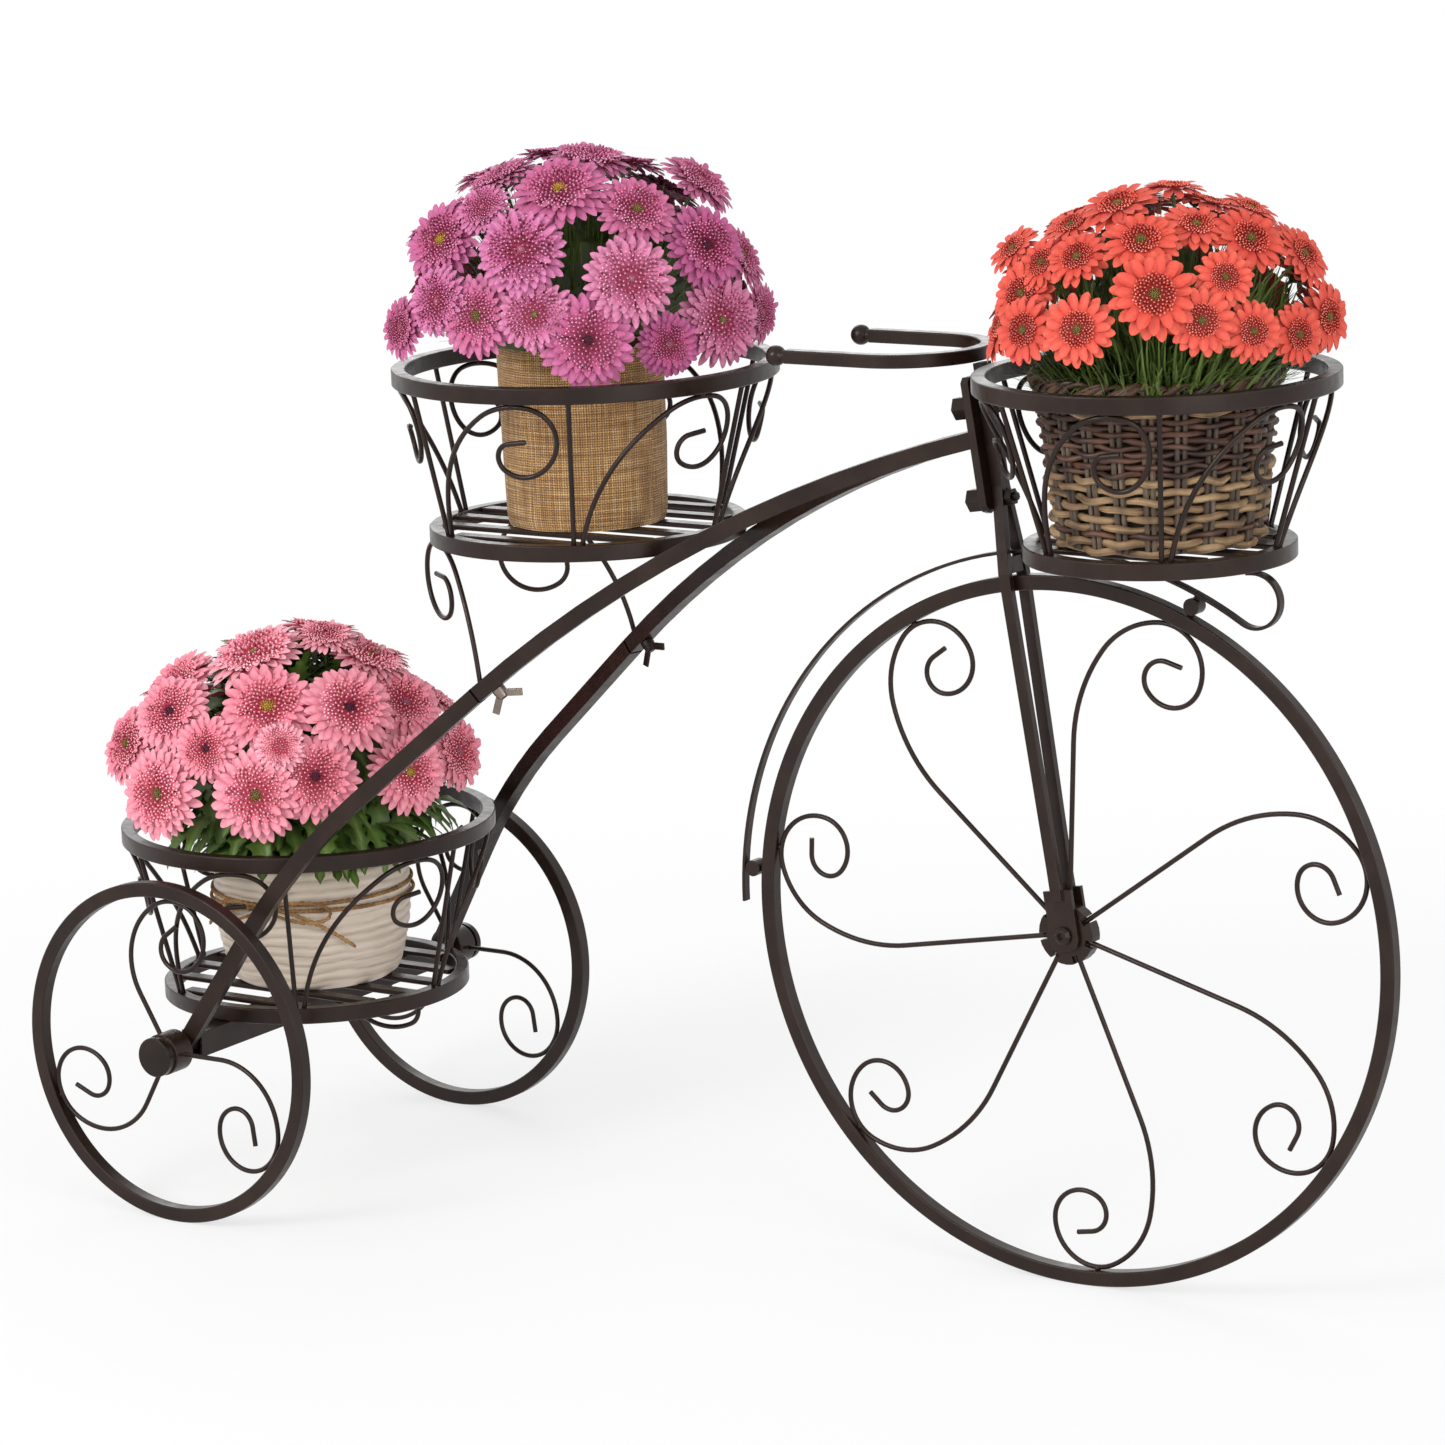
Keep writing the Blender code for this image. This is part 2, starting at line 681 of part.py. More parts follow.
def head():
    """The head plate behind the column, and the two bolts with nuts that hold it there."""
    frame = fork_frame()
    back = -BLADE_DEPTH / 2 - SEAT_GAP
    corner = HEAD_PLATE_CORNER
    half = HEAD_PLATE_WIDTH / 2
    outline = rounded_rectangle(half, HEAD_PLATE_LENGTH / 2, corner)
    middle = HEAD_PLATE_BOTTOM + HEAD_PLATE_LENGTH / 2
    place = frame @ at(back - HEAD_PLATE_THICKNESS / 2, 0, middle) @ turned_by(90, "Z") @ UPRIGHT
    head_plate = node("head_plate", [plate(outline, HEAD_PLATE_THICKNESS, place)], IRON)
    cut(head_plate, "head_plate_holes", head_bolt_holes())
    seat = HEAD_PLATE_THICKNESS - back + SEAT_GAP
    front = BLADE_DEPTH / 2 + SEAT_GAP
    for word, rise in zip(("lower", "upper"), HEAD_BOLT_RISES):
        axis = frame @ at(0, 0, rise) @ turned_by(-90, "Y")
        collar_top = seat + HEAD_BOLT_COLLAR_HEIGHT
        shank = front + HEAD_NUT_HEIGHT + HEAD_BOLT_END
        profile = [
            (0, collar_top),
            (HEAD_BOLT_COLLAR_RADIUS, collar_top),
            (HEAD_BOLT_COLLAR_RADIUS, seat),
            (HEAD_BOLT_RADIUS, seat),
            (HEAD_BOLT_RADIUS, -shank),
            (0, -shank),
        ]
        bolt = node("head_bolt_" + word, [lathe(profile, axis, BOLT_SIDES)], HARDWARE)
        hexagon = cylinder(HEAD_BOLT_HEX_RADIUS, HEAD_BOLT_HEX_HEIGHT + WELD_DEPTH,
                           axis @ at(0, 0, collar_top - WELD_DEPTH), HEX_SIDES)
        join(bolt, bolt.name + "_hexagon", [hexagon])
        bore = HEAD_BOLT_RADIUS + BORE_CLEARANCE
        hex_nut("head_nut_" + word, HEAD_NUT_RADIUS, bore, HEAD_NUT_HEIGHT,
                axis @ at(0, 0, -front - HEAD_NUT_HEIGHT))


def rounded_rectangle(half_width, half_height, corner):
    """A rectangle with rounded corners, round the middle of a plane."""
    points = []
    steps = arc_steps(corner, 90, ARC_SAG)
    corners = ((1, 1, 0), (-1, 1, 90), (-1, -1, 180), (1, -1, 270))
    for side, level, start in corners:
        centre = Vector((side * (half_width - corner), level * (half_height - corner)))
        for step in range(steps + 1):
            angle = math.radians(start + 90 * step / steps)
            points.append(centre + corner * Vector((math.cos(angle), math.sin(angle))))
    return points


def handlebar():
    """The flat U of the handlebar, open to the rear, with a ball on each end."""
    rake = math.tan(math.radians(FORK_RAKE))
    middle = HANDLE_UNDERSIDE + HANDLE_BAR / 2
    front = FRONT_AXLE_X - (HANDLE_UNDERSIDE - FRONT_WHEEL_RADIUS) * rake - HANDLE_SETBACK
    centre = front - HANDLE_RADIUS
    start = (centre - HANDLE_ARM, HANDLE_RADIUS)
    path = bent_path(start, 0, HANDLE_ARM, ((HANDLE_RADIUS, 180),), HANDLE_ARM)
    bar = plate(offset_band(path, HANDLE_BAR / 2), HANDLE_BAR, at(0, 0, middle))
    handle = node("handlebar", [bar], IRON)
    for word, side in (("left", 1), ("right", -1)):
        frame = at(centre - HANDLE_ARM + WELD_DEPTH, side * HANDLE_RADIUS, middle) @ turned_by(-90, "Y")
        join(handle, "ball_" + word, [lathe(ball_profile(), frame, BOLT_SIDES)])


def ball_profile():
    """A ball with a short neck, from its far pole down to the neck's end at zero."""
    neck_angle = math.asin(BALL_NECK_RADIUS / BALL_RADIUS)
    centre = BALL_NECK_LENGTH + BALL_RADIUS * math.cos(neck_angle)
    points = [(0, centre + BALL_RADIUS)]
    for ring in range(1, BALL_RINGS):
        angle = (math.pi - neck_angle) * ring / BALL_RINGS
        points.append((BALL_RADIUS * math.sin(angle), centre + BALL_RADIUS * math.cos(angle)))
    points += [(BALL_NECK_RADIUS, BALL_NECK_LENGTH), (BALL_NECK_RADIUS, 0), (0, 0)]
    return points


def strap_point(angle, radius):
    """A point over the front wheel, at an angle and a distance from its axle."""
    turn = math.radians(angle)
    return Vector((FRONT_AXLE_X + radius * math.cos(turn), FRONT_WHEEL_RADIUS + radius * math.sin(turn)))


def fender():
    """The strap over the front wheel with its upturned front curl, and the studs that carry it."""
    middle = STRAP_RADIUS - STRAP_THICKNESS / 2
    sweep = STRAP_REAR_ANGLE - STRAP_FRONT_ANGLE
    bends = ((middle, sweep),)
    start = strap_point(STRAP_REAR_ANGLE, middle)
    path = bent_path(start, STRAP_REAR_ANGLE - 90, 0, bends, 0, FINE_SAG)
    curl = [(radius, -turn) for radius, turn in STRAP_CURL_BENDS]
    path += bent_path(path[-1], STRAP_FRONT_ANGLE - 90, 0, curl, STRAP_CURL_TAIL)[1:]
    strap = plate(offset_band(path, STRAP_THICKNESS / 2), STRAP_WIDTH, UPRIGHT)
    strap_node = node("fender_strap", [strap], IRON)
    cut(strap_node, "strap_hole", [front_bolt_hole()])
    inner = STRAP_RADIUS - STRAP_THICKNESS - FINE_SAG
    space = inner - FRONT_WHEEL_RADIUS - 2 * SEAT_GAP
    for word, angle in zip(("rear", "front"), STUD_ANGLES):
        place = strap_point(angle, (inner + FRONT_WHEEL_RADIUS) / 2)
        middle = at(place.x, 0, place.y)
        frame = middle @ at(0, STUD_LENGTH / 2, 0) @ UPRIGHT
        stud = node("strap_stud_" + word, [cylinder(STUD_RADIUS, STUD_LENGTH, frame, DRUM_STEPS)], IRON)
        radial = middle @ turned_by(90 - angle, "Y") @ at(0, 0, -space / 2)
        join(stud, stud.name + "_necks", [cylinder(STUD_NECK_RADIUS, space, radial, BOLT_SIDES)])


def tube_slope():
    """The tangent of the angle in plan between a side tube and the centre plane."""
    head_x = head_face_x()
    foot_y = tube_foot_half()
    return (foot_y - TUBE_HEAD_SPACING) / (head_x - REAR_AXLE_X)


def tube_foot_half():
    """How far from the centre plane a tube's middle lies at the rear axle.

    Its outer face stays just inside the wheel's hub.
    """
    return HALF_TRACK - REAR_HUB_HALF_THICKNESS - TUBE_FOOT_ROOM


def head_face_x():
    """Where the rear face of the head plate meets the side tubes."""
    rake = math.radians(FORK_RAKE)
    rise = HEAD_PLATE_BOTTOM + HEAD_PLATE_LENGTH / 2
    back = BLADE_DEPTH / 2 + SEAT_GAP + HEAD_PLATE_THICKNESS
    return FRONT_AXLE_X - rise * math.sin(rake) - back * math.cos(rake)


def tube_frame(side):
    """The upright plane of a side tube: X forward along it from the rear axle, Y up."""
    angle = -side * math.degrees(math.atan(tube_slope()))
    return at(REAR_AXLE_X, side * tube_foot_half(), 0) @ turned_by(angle, "Z") @ UPRIGHT


def lower_tube_line():
    """The middle line of a lower tube, seen from the side, from the rear axle up to the seam."""
    bends = ((TUBE_LOWER_RADIUS, TUBE_LOWER_SWEEP),)
    return bent_path((0, REAR_WHEEL_RADIUS), TUBE_RISE_ANGLE, TUBE_FOOT_STRAIGHT, bends, TUBE_LOWER_STRAIGHT,
                     FINE_SAG)


def upper_tube_line(start):
    """The middle line of an upper tube: the one arc that leaves the seam straight and meets the head."""
    heading = TUBE_RISE_ANGLE - TUBE_LOWER_SWEEP
    rise = (HEAD_PLATE_BOTTOM + HEAD_PLATE_LENGTH / 2) * math.cos(math.radians(FORK_RAKE))
    end = Vector((head_face_x() - REAR_AXLE_X, FRONT_WHEEL_RADIUS + rise + TUBE_HEAD_SHIFT))
    chord = end - start
    turn = math.radians(heading) - math.atan2(chord.y, chord.x)
    radius = chord.length / (2 * math.sin(turn))
    return bent_path(start, heading, 0, ((radius, math.degrees(2 * turn)),), TUBE, FINE_SAG)


def tube_line():
    """Points and distances along a side tube's middle line, from the rear axle to the head."""
    stretch = 1 / math.cos(math.atan(tube_slope()))
    lower = lower_tube_line()
    points = [Vector((point.x * stretch, point.y)) for point in lower + upper_tube_line(lower[-1])[1:]]
    distances = [0]
    for before, after in zip(points, points[1:]):
        distances.append(distances[-1] + (after - before).length)
    return points, distances


def tube_place(along):
    """The point and the direction on a side tube's middle line at a distance from the axle."""
    points, distances = tube_line()
    index = min(max(bisect.bisect_left(distances, along), 1), len(points) - 1)
    direction = (points[index] - points[index - 1]).normalized()
    return points[index - 1] + (along - distances[index - 1]) * direction, direction


def tube_stretch(start, end):
    """The middle line of a side tube between two distances from the axle."""
    points, distances = tube_line()
    inside = [point for point, distance in zip(points, distances) if start < distance < end]
    return [tube_place(start)[0]] + inside + [tube_place(end)[0]]


def seam_distance():
    """How far from the axle the lower and upper tubes meet."""
    _, distances = tube_line()
    return distances[len(lower_tube_line()) - 1]


def tube_normal_frame(side, along):
    """A frame on a side tube: Z square to it and up, X forward along it."""
    place, direction = tube_place(along)
    angle = math.degrees(math.atan2(direction.y, direction.x))
    return tube_frame(side) @ at(place.x, place.y, 0) @ turned_by(angle, "Z") @ turned_by(-90, "X")


def side_tubes():
    """The four side tubes, the spigots inside their seams and the holes for bolts and axle."""
    seam = seam_distance()
    _, distances = tube_line()
    reach = SPIGOT_LENGTH / 2
    for word, side in (("left", 1), ("right", -1)):
        frame = tube_frame(side)
        lower_line = tube_stretch(-TUBE_FOOT_OVERHANG, seam - SEAT_GAP / 2)
        upper_line = tube_stretch(seam + SEAT_GAP / 2, distances[-1])
        lower = node("lower_tube_" + word, [plate(offset_band(lower_line, HALF_TUBE), TUBE, frame)], IRON)
        upper = node("upper_tube_" + word, [plate(offset_band(upper_line, HALF_TUBE), TUBE, frame)], IRON)
        socket_half = SPIGOT_HALF + SPIGOT_CLEARANCE
        socket_line = tube_stretch(seam - reach - SEAT_GAP, seam + reach + SEAT_GAP)
        for tube in (lower, upper):
            socket = plate(offset_band(socket_line, socket_half), 2 * socket_half, frame)
            cut(tube, tube.name + "_socket", [socket])
        spigot_line = tube_stretch(seam - reach, seam + reach)
        spigot = node("tube_spigot_" + word, [plate(offset_band(spigot_line, SPIGOT_HALF), 2 * SPIGOT_HALF,
                                                    frame)], IRON)
        cut(spigot, spigot.name + "_hole", [seam_stud_hole(side)])
        cut(upper, upper.name + "_bolt_hole", [seam_stud_hole(side)])
        axle_hole = cylinder(REAR_AXLE_RADIUS + BORE_CLEARANCE, 2 * (TUBE + OVERRUN),
                             at(REAR_AXLE_X, side * tube_foot_half() + TUBE + OVERRUN, REAR_WHEEL_RADIUS)
                             @ UPRIGHT, BOLT_SIDES)
        cut(lower, lower.name + "_axle_hole", [axle_hole])
        back = -BLADE_DEPTH / 2 - 2 * SEAT_GAP - HEAD_PLATE_THICKNESS
        depth = 2 * HEAD_PLATE_LENGTH
        middle = at(back + depth / 2, 0, HEAD_PLATE_BOTTOM + HEAD_PLATE_LENGTH / 2)
        keep_out = block((depth, depth, depth), fork_frame() @ middle)
        cut(upper, upper.name + "_mitre", [keep_out])


def seam_stud_hole(side):
    """A cutter for the stud that holds a seam, up through the tube's lower wall and the spigot."""
    frame = tube_normal_frame(side, seam_distance() + SEAM_STUD_PAST_SEAM) @ at(0, 0, -HALF_TUBE - OVERRUN)
    height = HALF_TUBE + OVERRUN + SPIGOT_HALF + SPIGOT_CLEARANCE / 2
    return cylinder(SEAM_STUD_RADIUS + BORE_CLEARANCE, height, frame, BOLT_SIDES)


def seam_studs():
    """The studs in the spigots, which hang through the tubes' lower walls into wing nuts."""
    for word, side in (("left", 1), ("right", -1)):
        frame = tube_normal_frame(side, seam_distance() + SEAM_STUD_PAST_SEAM)
        seat = HALF_TUBE + SEAT_GAP
        end = seat + WING_HUB_HEIGHT + SEAM_STUD_END
        stud = cylinder(SEAM_STUD_RADIUS, end + SPIGOT_HALF, frame @ at(0, 0, -end), BOLT_SIDES)
        node("seam_stud_" + word, [stud], HARDWARE)
        wing_nut("wing_nut_" + word, frame @ at(0, 0, -seat) @ turned_by(180, "X"))


def wing_nut(name, frame):
    """A wing nut: a round hub with two thin wings that rise from its sides."""
    bore = SEAM_STUD_RADIUS + BORE_CLEARANCE
    hub = lathe(ring_profile(WING_HUB_RADIUS, WING_HUB_RADIUS - bore, WING_HUB_HEIGHT, WING_HUB_HEIGHT),
                frame, BOLT_SIDES)
    nut = node(name, [hub], BARE_METAL)
    wings = []
    root = WING_HUB_RADIUS - WING_ROOT_OVERLAP
    tip = WING_SPAN / 2
    for turn in (0, 180):
        outline = [
            Vector((root, WING_THICKNESS / 2)),
            Vector((tip - WING_THICKNESS, WING_THICKNESS)),
            Vector((tip, WING_HEIGHT - WING_THICKNESS)),
            Vector((tip - WING_THICKNESS, WING_HEIGHT)),
            Vector((root + WING_THICKNESS, WING_HUB_HEIGHT - WING_THICKNESS / 2)),
            Vector((root, WING_HUB_HEIGHT - WING_THICKNESS / 2)),
        ]
        wings.append(plate(outline, WING_THICKNESS, frame @ turned_by(turn + 90, "Z") @ UPRIGHT))
    join(nut, name + "_wings", wings)


def crossbar_half():
    """Half the length of the crossbar, which ends against the inner faces of the tubes."""
    slope = tube_slope()
    corner = tube_foot_half() - CROSSBAR / 2 * slope
    return corner - HALF_TUBE * math.sqrt(1 + slope * slope) - SEAT_GAP


def rear_axle():
    """The square crossbar and the axle rod inside it, which carries both rear wheels."""
    length = 2 * crossbar_half()
    frame = at(REAR_AXLE_X, 0, REAR_WHEEL_RADIUS)
    beam = node("crossbar", [block((CROSSBAR, length, CROSSBAR), frame)], IRON)
    inner = CROSSBAR - 2 * CROSSBAR_WALL
    cut(beam, "crossbar_hollow", [block((inner, length + 2 * OVERRUN, inner), frame)])
    half = axle_half()
    rod = cylinder(REAR_AXLE_RADIUS, 2 * half, frame @ at(0, half, 0) @ UPRIGHT, BOLT_SIDES)
    node("rear_axle", [rod], HARDWARE)


def hub_outer_half():
    """How far out the boss of a rear hub reaches."""
    return HALF_TRACK + REAR_HUB_HALF_THICKNESS + REAR_HUB_BOSS_HEIGHT


def axle_half():
    """How far out the axle rod reaches, into the caps."""
    return hub_outer_half() + CAP_SOCKET_DEPTH


def rear_wheels():
    """Both rear wheels, each on its own empty at the axle, with its cap outside."""
    bore = REAR_AXLE_RADIUS + BORE_CLEARANCE
    for word, side in (("left", 1), ("right", -1)):
        centre = Vector((REAR_AXLE_X, side * HALF_TRACK, REAR_WHEEL_RADIUS))
        parent = axis_empty("rear_wheel_" + word, centre)
        frame = Matrix.Translation(centre) @ UPRIGHT
        outward = frame if side < 0 else frame @ turned_by(180, "X")
        prefix = "rear_" + word + "_"
        node(prefix + "rim", [rim(REAR_WHEEL_RADIUS, frame, SMALL_RIM_STEPS)], IRON, centre, parent)
        local = UPRIGHT
        half = REAR_HUB_HALF_THICKNESS
        profile = [
            (bore, half + REAR_HUB_BOSS_HEIGHT),
            (REAR_HUB_BOSS_RADIUS, half + REAR_HUB_BOSS_HEIGHT),
            (REAR_HUB_BOSS_RADIUS, half),
            (REAR_HUB_RADIUS, half),
            (REAR_HUB_RADIUS, -half),
            (bore, -half),
        ]
        hub = node(prefix + "hub", [lathe(profile, outward, DRUM_STEPS)], IRON, centre, parent)
        cut(hub, prefix + "hub_slots", hub_slots(REAR_HUB_RADIUS, half, REAR_SPOKES, REAR_SPOKE_START, local))
        root = REAR_HUB_RADIUS - HUB_SLOT_DEPTH - WELD_DEPTH
        join(hub, prefix + "spokes", scroll_spokes(root, REAR_WHEEL_RADIUS - RIM_BAR, REAR_SPOKES,
                                                   REAR_SPOKE_START, REAR_SPOKE_BENDS, REAR_SPOKE_TAIL, local))
        cap_frame = outward @ at(0, 0, half + REAR_HUB_BOSS_HEIGHT + SEAT_GAP)
        cap = [
            (0, CAP_HEIGHT),
            (CAP_RADIUS / 2, CAP_HEIGHT),
            (CAP_RADIUS, CAP_HEIGHT / 2),
            (CAP_RADIUS, 0),
            (bore, 0),
            (bore, CAP_SOCKET_DEPTH),
            (0, CAP_SOCKET_DEPTH),
        ]
        node(prefix + "cap", [lathe(cap, cap_frame, DRUM_STEPS)], HARDWARE, centre, parent)


def wire_lean(bottom_radius, top_radius, height):
    """How much a basket's wires lean out from upright."""
    return math.atan2(top_radius - bottom_radius, height - 2 * RING_HEIGHT)


def basket(prefix, centre, bottom, top_shift, bottom_radius, top_radius, height):
    """One basket: two rings, the slats of its floor, the straight wires and the scrolled ones."""
    frame = at(centre, 0, bottom)
    low = ring_profile(bottom_radius, RING_WIDTH, RING_HEIGHT, RING_HEIGHT)
    base = node(prefix + "_base", [lathe(low, frame, RING_STEPS)], IRON)
    high = ring_profile(top_radius, RING_WIDTH, height, RING_HEIGHT)
    rail = node(prefix + "_rail", [lathe(high, frame @ at(top_shift, 0, 0), RING_STEPS)], IRON)
    join(base, prefix + "_slats", slats(centre, bottom, bottom_radius - RING_WIDTH))
    low_middle = bottom_radius - RING_WIDTH / 2
    high_middle = top_radius - RING_WIDTH / 2
    span = height - 2 * RING_HEIGHT
    end_gap = SEAT_GAP + WIRE_RADIUS * math.sin(wire_lean(low_middle, high_middle, height))

    def on_side(turn, rise):
        share = rise / span
        radius = low_middle + share * (high_middle - low_middle)
        angle = math.radians(turn)
        shift = share * top_shift
        return Vector((centre + shift + radius * math.cos(angle), radius * math.sin(angle),
                       bottom + RING_HEIGHT + rise))

    scroll = scroll_reaching(span - WIRE_RADIUS - SEAT_GAP, lambda point: point.y,
                             (SCROLL_SHIFT, -WELD_DEPTH), SCROLL_HEADING, SCROLL_BENDS, SCROLL_TAIL)
    straights, scrolls = [], []
    for index in range(BASKET_WIRES):
        turn = index * 360 / BASKET_WIRES
        straights.append(wire([on_side(turn, end_gap), on_side(turn, span + WELD_DEPTH)], WIRE_RADIUS))
        points = []
        for point in scroll:
            around = point.x - SCROLL_SHIFT
            foot = SCROLL_SHIFT / low_middle
            points.append(on_side(turn + math.degrees(foot + around / SCROLL_REFERENCE_RADIUS), point.y))
        scrolls.append(wire(points, WIRE_RADIUS))
    join(rail, prefix + "_wires", straights)
    join(base, prefix + "_scrolls", scrolls)
    return base


def slats(centre, bottom, inner_radius):
    """The flat bars across a bottom ring, each welded to the ring's inner face."""
    pieces = []
    inside = inner_radius + WELD_DEPTH
    level = bottom + RING_HEIGHT - SLAT_SINK - SLAT_THICKNESS / 2
    count = int((inside - SLAT_WIDTH) / SLAT_PITCH + 1 / 2)
    for index in range(-count, count):
        across = (index + 1 / 2) * SLAT_PITCH
        edge = abs(across) + SLAT_WIDTH / 2
        half = math.sqrt(inside * inside - edge * edge)
        pieces.append(block((2 * half, SLAT_WIDTH, SLAT_THICKNESS), at(centre, across, level)))
    return pieces


def front_basket_x():
    """The middle of the front basket."""
    return FRONT_AXLE_X + FRONT_BASKET_REACH


def front_basket_bottom():
    """The front basket's ring stands on top of the fender strap."""
    return FRONT_WHEEL_RADIUS + STRAP_RADIUS + SEAT_GAP


def front_bolt_frame():
    """The axis of the bolt that holds the front basket's ring on the strap."""
    x = front_basket_x() - FRONT_BOTTOM_RADIUS + RING_WIDTH / 2
    return at(x, 0, front_basket_bottom())


def front_bolt_hole():
    """A cutter for the front basket's bolt, up through the strap and into the ring."""
    depth = STRAP_THICKNESS + FRONT_BOLT_GRIP
    frame = front_bolt_frame() @ at(0, 0, -depth)
    return cylinder(FRONT_BOLT_RADIUS + BORE_CLEARANCE, depth + FRONT_BOLT_GRIP, frame, BOLT_SIDES)


def front_basket():
    """The front basket and the small bolt with a nut that holds it on the strap."""
    ring = basket("front_basket", front_basket_x(), front_basket_bottom(), 0, FRONT_BOTTOM_RADIUS,
                  FRONT_TOP_RADIUS, FRONT_BASKET_HEIGHT)
    cut(ring, "front_ring_hole", [front_bolt_hole()])
    drop = STRAP_THICKNESS + 3 * SEAT_GAP
    frame = front_bolt_frame() @ at(0, 0, -drop)
    nut = cylinder(FRONT_NUT_RADIUS, FRONT_NUT_HEIGHT, frame @ at(0, 0, -FRONT_NUT_HEIGHT), HEX_SIDES)
    bolt = node("front_basket_bolt", [nut], HARDWARE)
    shank = cylinder(FRONT_BOLT_RADIUS, FRONT_NUT_HEIGHT / 2 + drop + FRONT_BOLT_GRIP - SEAT_GAP,
                     frame @ at(0, 0, -FRONT_NUT_HEIGHT / 2), BOLT_SIDES)
    join(bolt, "front_basket_bolt_shank", [shank])


def tube_top_under_ring():
    """The height of a side tube's top where the upper basket's ring crosses it farthest forward."""
    centre = REAR_AXLE_X + UPPER_BASKET_X
    slope = tube_slope()
    stretch = math.sqrt(1 + slope * slope)
    inner_foot = tube_foot_half() - HALF_TUBE * stretch

    def corner(along):
        place, direction = tube_place(along)
        forward = REAR_AXLE_X + (place.x - HALF_TUBE * (direction.y + slope)) / stretch
        across = inner_foot - slope * (forward - REAR_AXLE_X)
        return math.hypot(forward - centre, across), place.y + HALF_TUBE * direction.x

    under, clear = seam_distance(), tube_line()[1][-1]
    while clear - under > WELD_DISTANCE:
        middle = (under + clear) / 2
        if corner(middle)[0] < UPPER_BOTTOM_RADIUS:
            under = middle
        else:
            clear = middle
    return corner(clear)[1]


def upper_basket():
    """The upper basket, which rests on the side tubes in front and on two scrolled legs behind."""
    bottom = tube_top_under_ring() + SEAT_GAP
    basket("upper_basket", REAR_AXLE_X + UPPER_BASKET_X, bottom, UPPER_TOP_SHIFT, UPPER_BOTTOM_RADIUS,
           UPPER_TOP_RADIUS, UPPER_BASKET_HEIGHT)
    for word, side in (("left", 1), ("right", -1)):
        basket_leg("basket_leg_" + word, side, bottom)
    return bottom


def basket_leg(name, side, ring_bottom):
    """A scrolled leg from the top of a side tube up to the underside of the basket's ring."""
    foot = tube_normal_frame(side, seam_distance() + LEG_FOOT_PAST_SEAM) @ Vector((0, 0, HALF_TUBE + SEAT_GAP))
    foot.z += LEG_RADIUS
    rise = ring_bottom - foot.z - LEG_RADIUS - SEAT_GAP
    path = scroll_reaching(rise, lambda point: point.y, (0, 0), LEG_HEADING, LEG_BENDS, LEG_TAIL)
    top = max(path, key=lambda point: point.y)
    along = Vector((math.cos(math.radians(LEG_TURN)), side * math.sin(math.radians(LEG_TURN)), 0))
    outward = Vector((-math.sin(math.radians(LEG_TURN)), side * math.cos(math.radians(LEG_TURN)), 0))
    centre = Vector((REAR_AXLE_X + UPPER_BASKET_X, 0, 0))
    level_top = Vector((foot.x, foot.y, 0)) + top.x * along - centre
    ring_middle = UPPER_BOTTOM_RADIUS - RING_WIDTH / 2
    across = level_top.dot(outward)
    shift = -across + math.sqrt(max(across * across - level_top.length_squared + ring_middle ** 2, 0))
    lean = shift / top.y
    points = [foot + point.x * along + point.y * (Vector((0, 0, 1)) + lean * outward) for point in path]
    node(name, [wire(points, LEG_RADIUS)], IRON)


def lower_basket():
    """The lower basket on the crossbar, and the scrolled brace in front of the crossbar."""
    bottom = REAR_WHEEL_RADIUS + CROSSBAR / 2 + SEAT_GAP
    basket("lower_basket", REAR_AXLE_X + LOWER_BASKET_X, bottom, 0, LOWER_BOTTOM_RADIUS, LOWER_TOP_RADIUS,
           LOWER_BASKET_HEIGHT)
    end_lean = BRACE_RADIUS * math.sin(math.radians(-BRACE_HEADING))
    start = (REAR_AXLE_X + CROSSBAR / 2 + SEAT_GAP + end_lean, REAR_WHEEL_RADIUS + BRACE_RISE)
    path = bent_path(start, BRACE_HEADING, BRACE_STRAIGHT, BRACE_BENDS, BRACE_TAIL)
    node("lower_basket_brace", [wire([Vector((point.x, 0, point.y)) for point in path], BRACE_RADIUS)], IRON)
    return bottom


def pot_profile(foot_radius, top_radius, height, ribs):
    """The section of a pot from its inner floor over the rim and down the outside."""
    inner_floor = POT_WALL
    outer = []
    bands = max(ribs * 2, 1)
    for band in range(bands + 1):
        share = 1 - band / bands
        radius = foot_radius + share * (top_radius - foot_radius)
        if band % 2 and band < bands:
            radius -= CERAMIC_RIB_DEPTH
        outer.append((radius, share * height))
    inner_top = top_radius - POT_WALL
    inner_foot = foot_radius - POT_WALL
    return [(0, inner_floor), (inner_foot, inner_floor), (inner_top, height)] + outer + [(0, 0)]


def plant_profile(foot_radius, top_radius, height, bloom_radius, bloom_top):
    """The section of a plant: root ball, neck and the dome of flowers, from the crown down."""
    base = height + BLOOM_LIFT
    rise = bloom_top - base
    middle = base + rise * BLOOM_UNDERSIDE_SHARE
    points = [(0, bloom_top)]
    for ring in range(1, BLOOM_RINGS):
        angle = math.radians(90) * ring / BLOOM_RINGS
        points.append((bloom_radius * math.sin(angle), middle + (bloom_top - middle) * math.cos(angle)))
    points.append((bloom_radius, middle))
    neck = (top_radius - POT_WALL) * NECK_SHARE
    under = math.radians(BLOOM_UNDERSIDE_ANGLE)
    points.append((neck + (bloom_radius - neck) * math.cos(under), middle - (middle - base) * math.sin(under)))
    points.append((neck, base))
    soil = height - SOIL_DROP
    taper = (top_radius - foot_radius) / height
    inner_soil = foot_radius - POT_WALL + taper * (soil - POT_WALL) - SEAT_GAP
    points.append((neck, soil))
    points.append((inner_soil, soil))
    points.append((foot_radius - POT_WALL - 2 * SEAT_GAP, POT_WALL + SEAT_GAP))
    points.append((0, POT_WALL + SEAT_GAP))
    return points


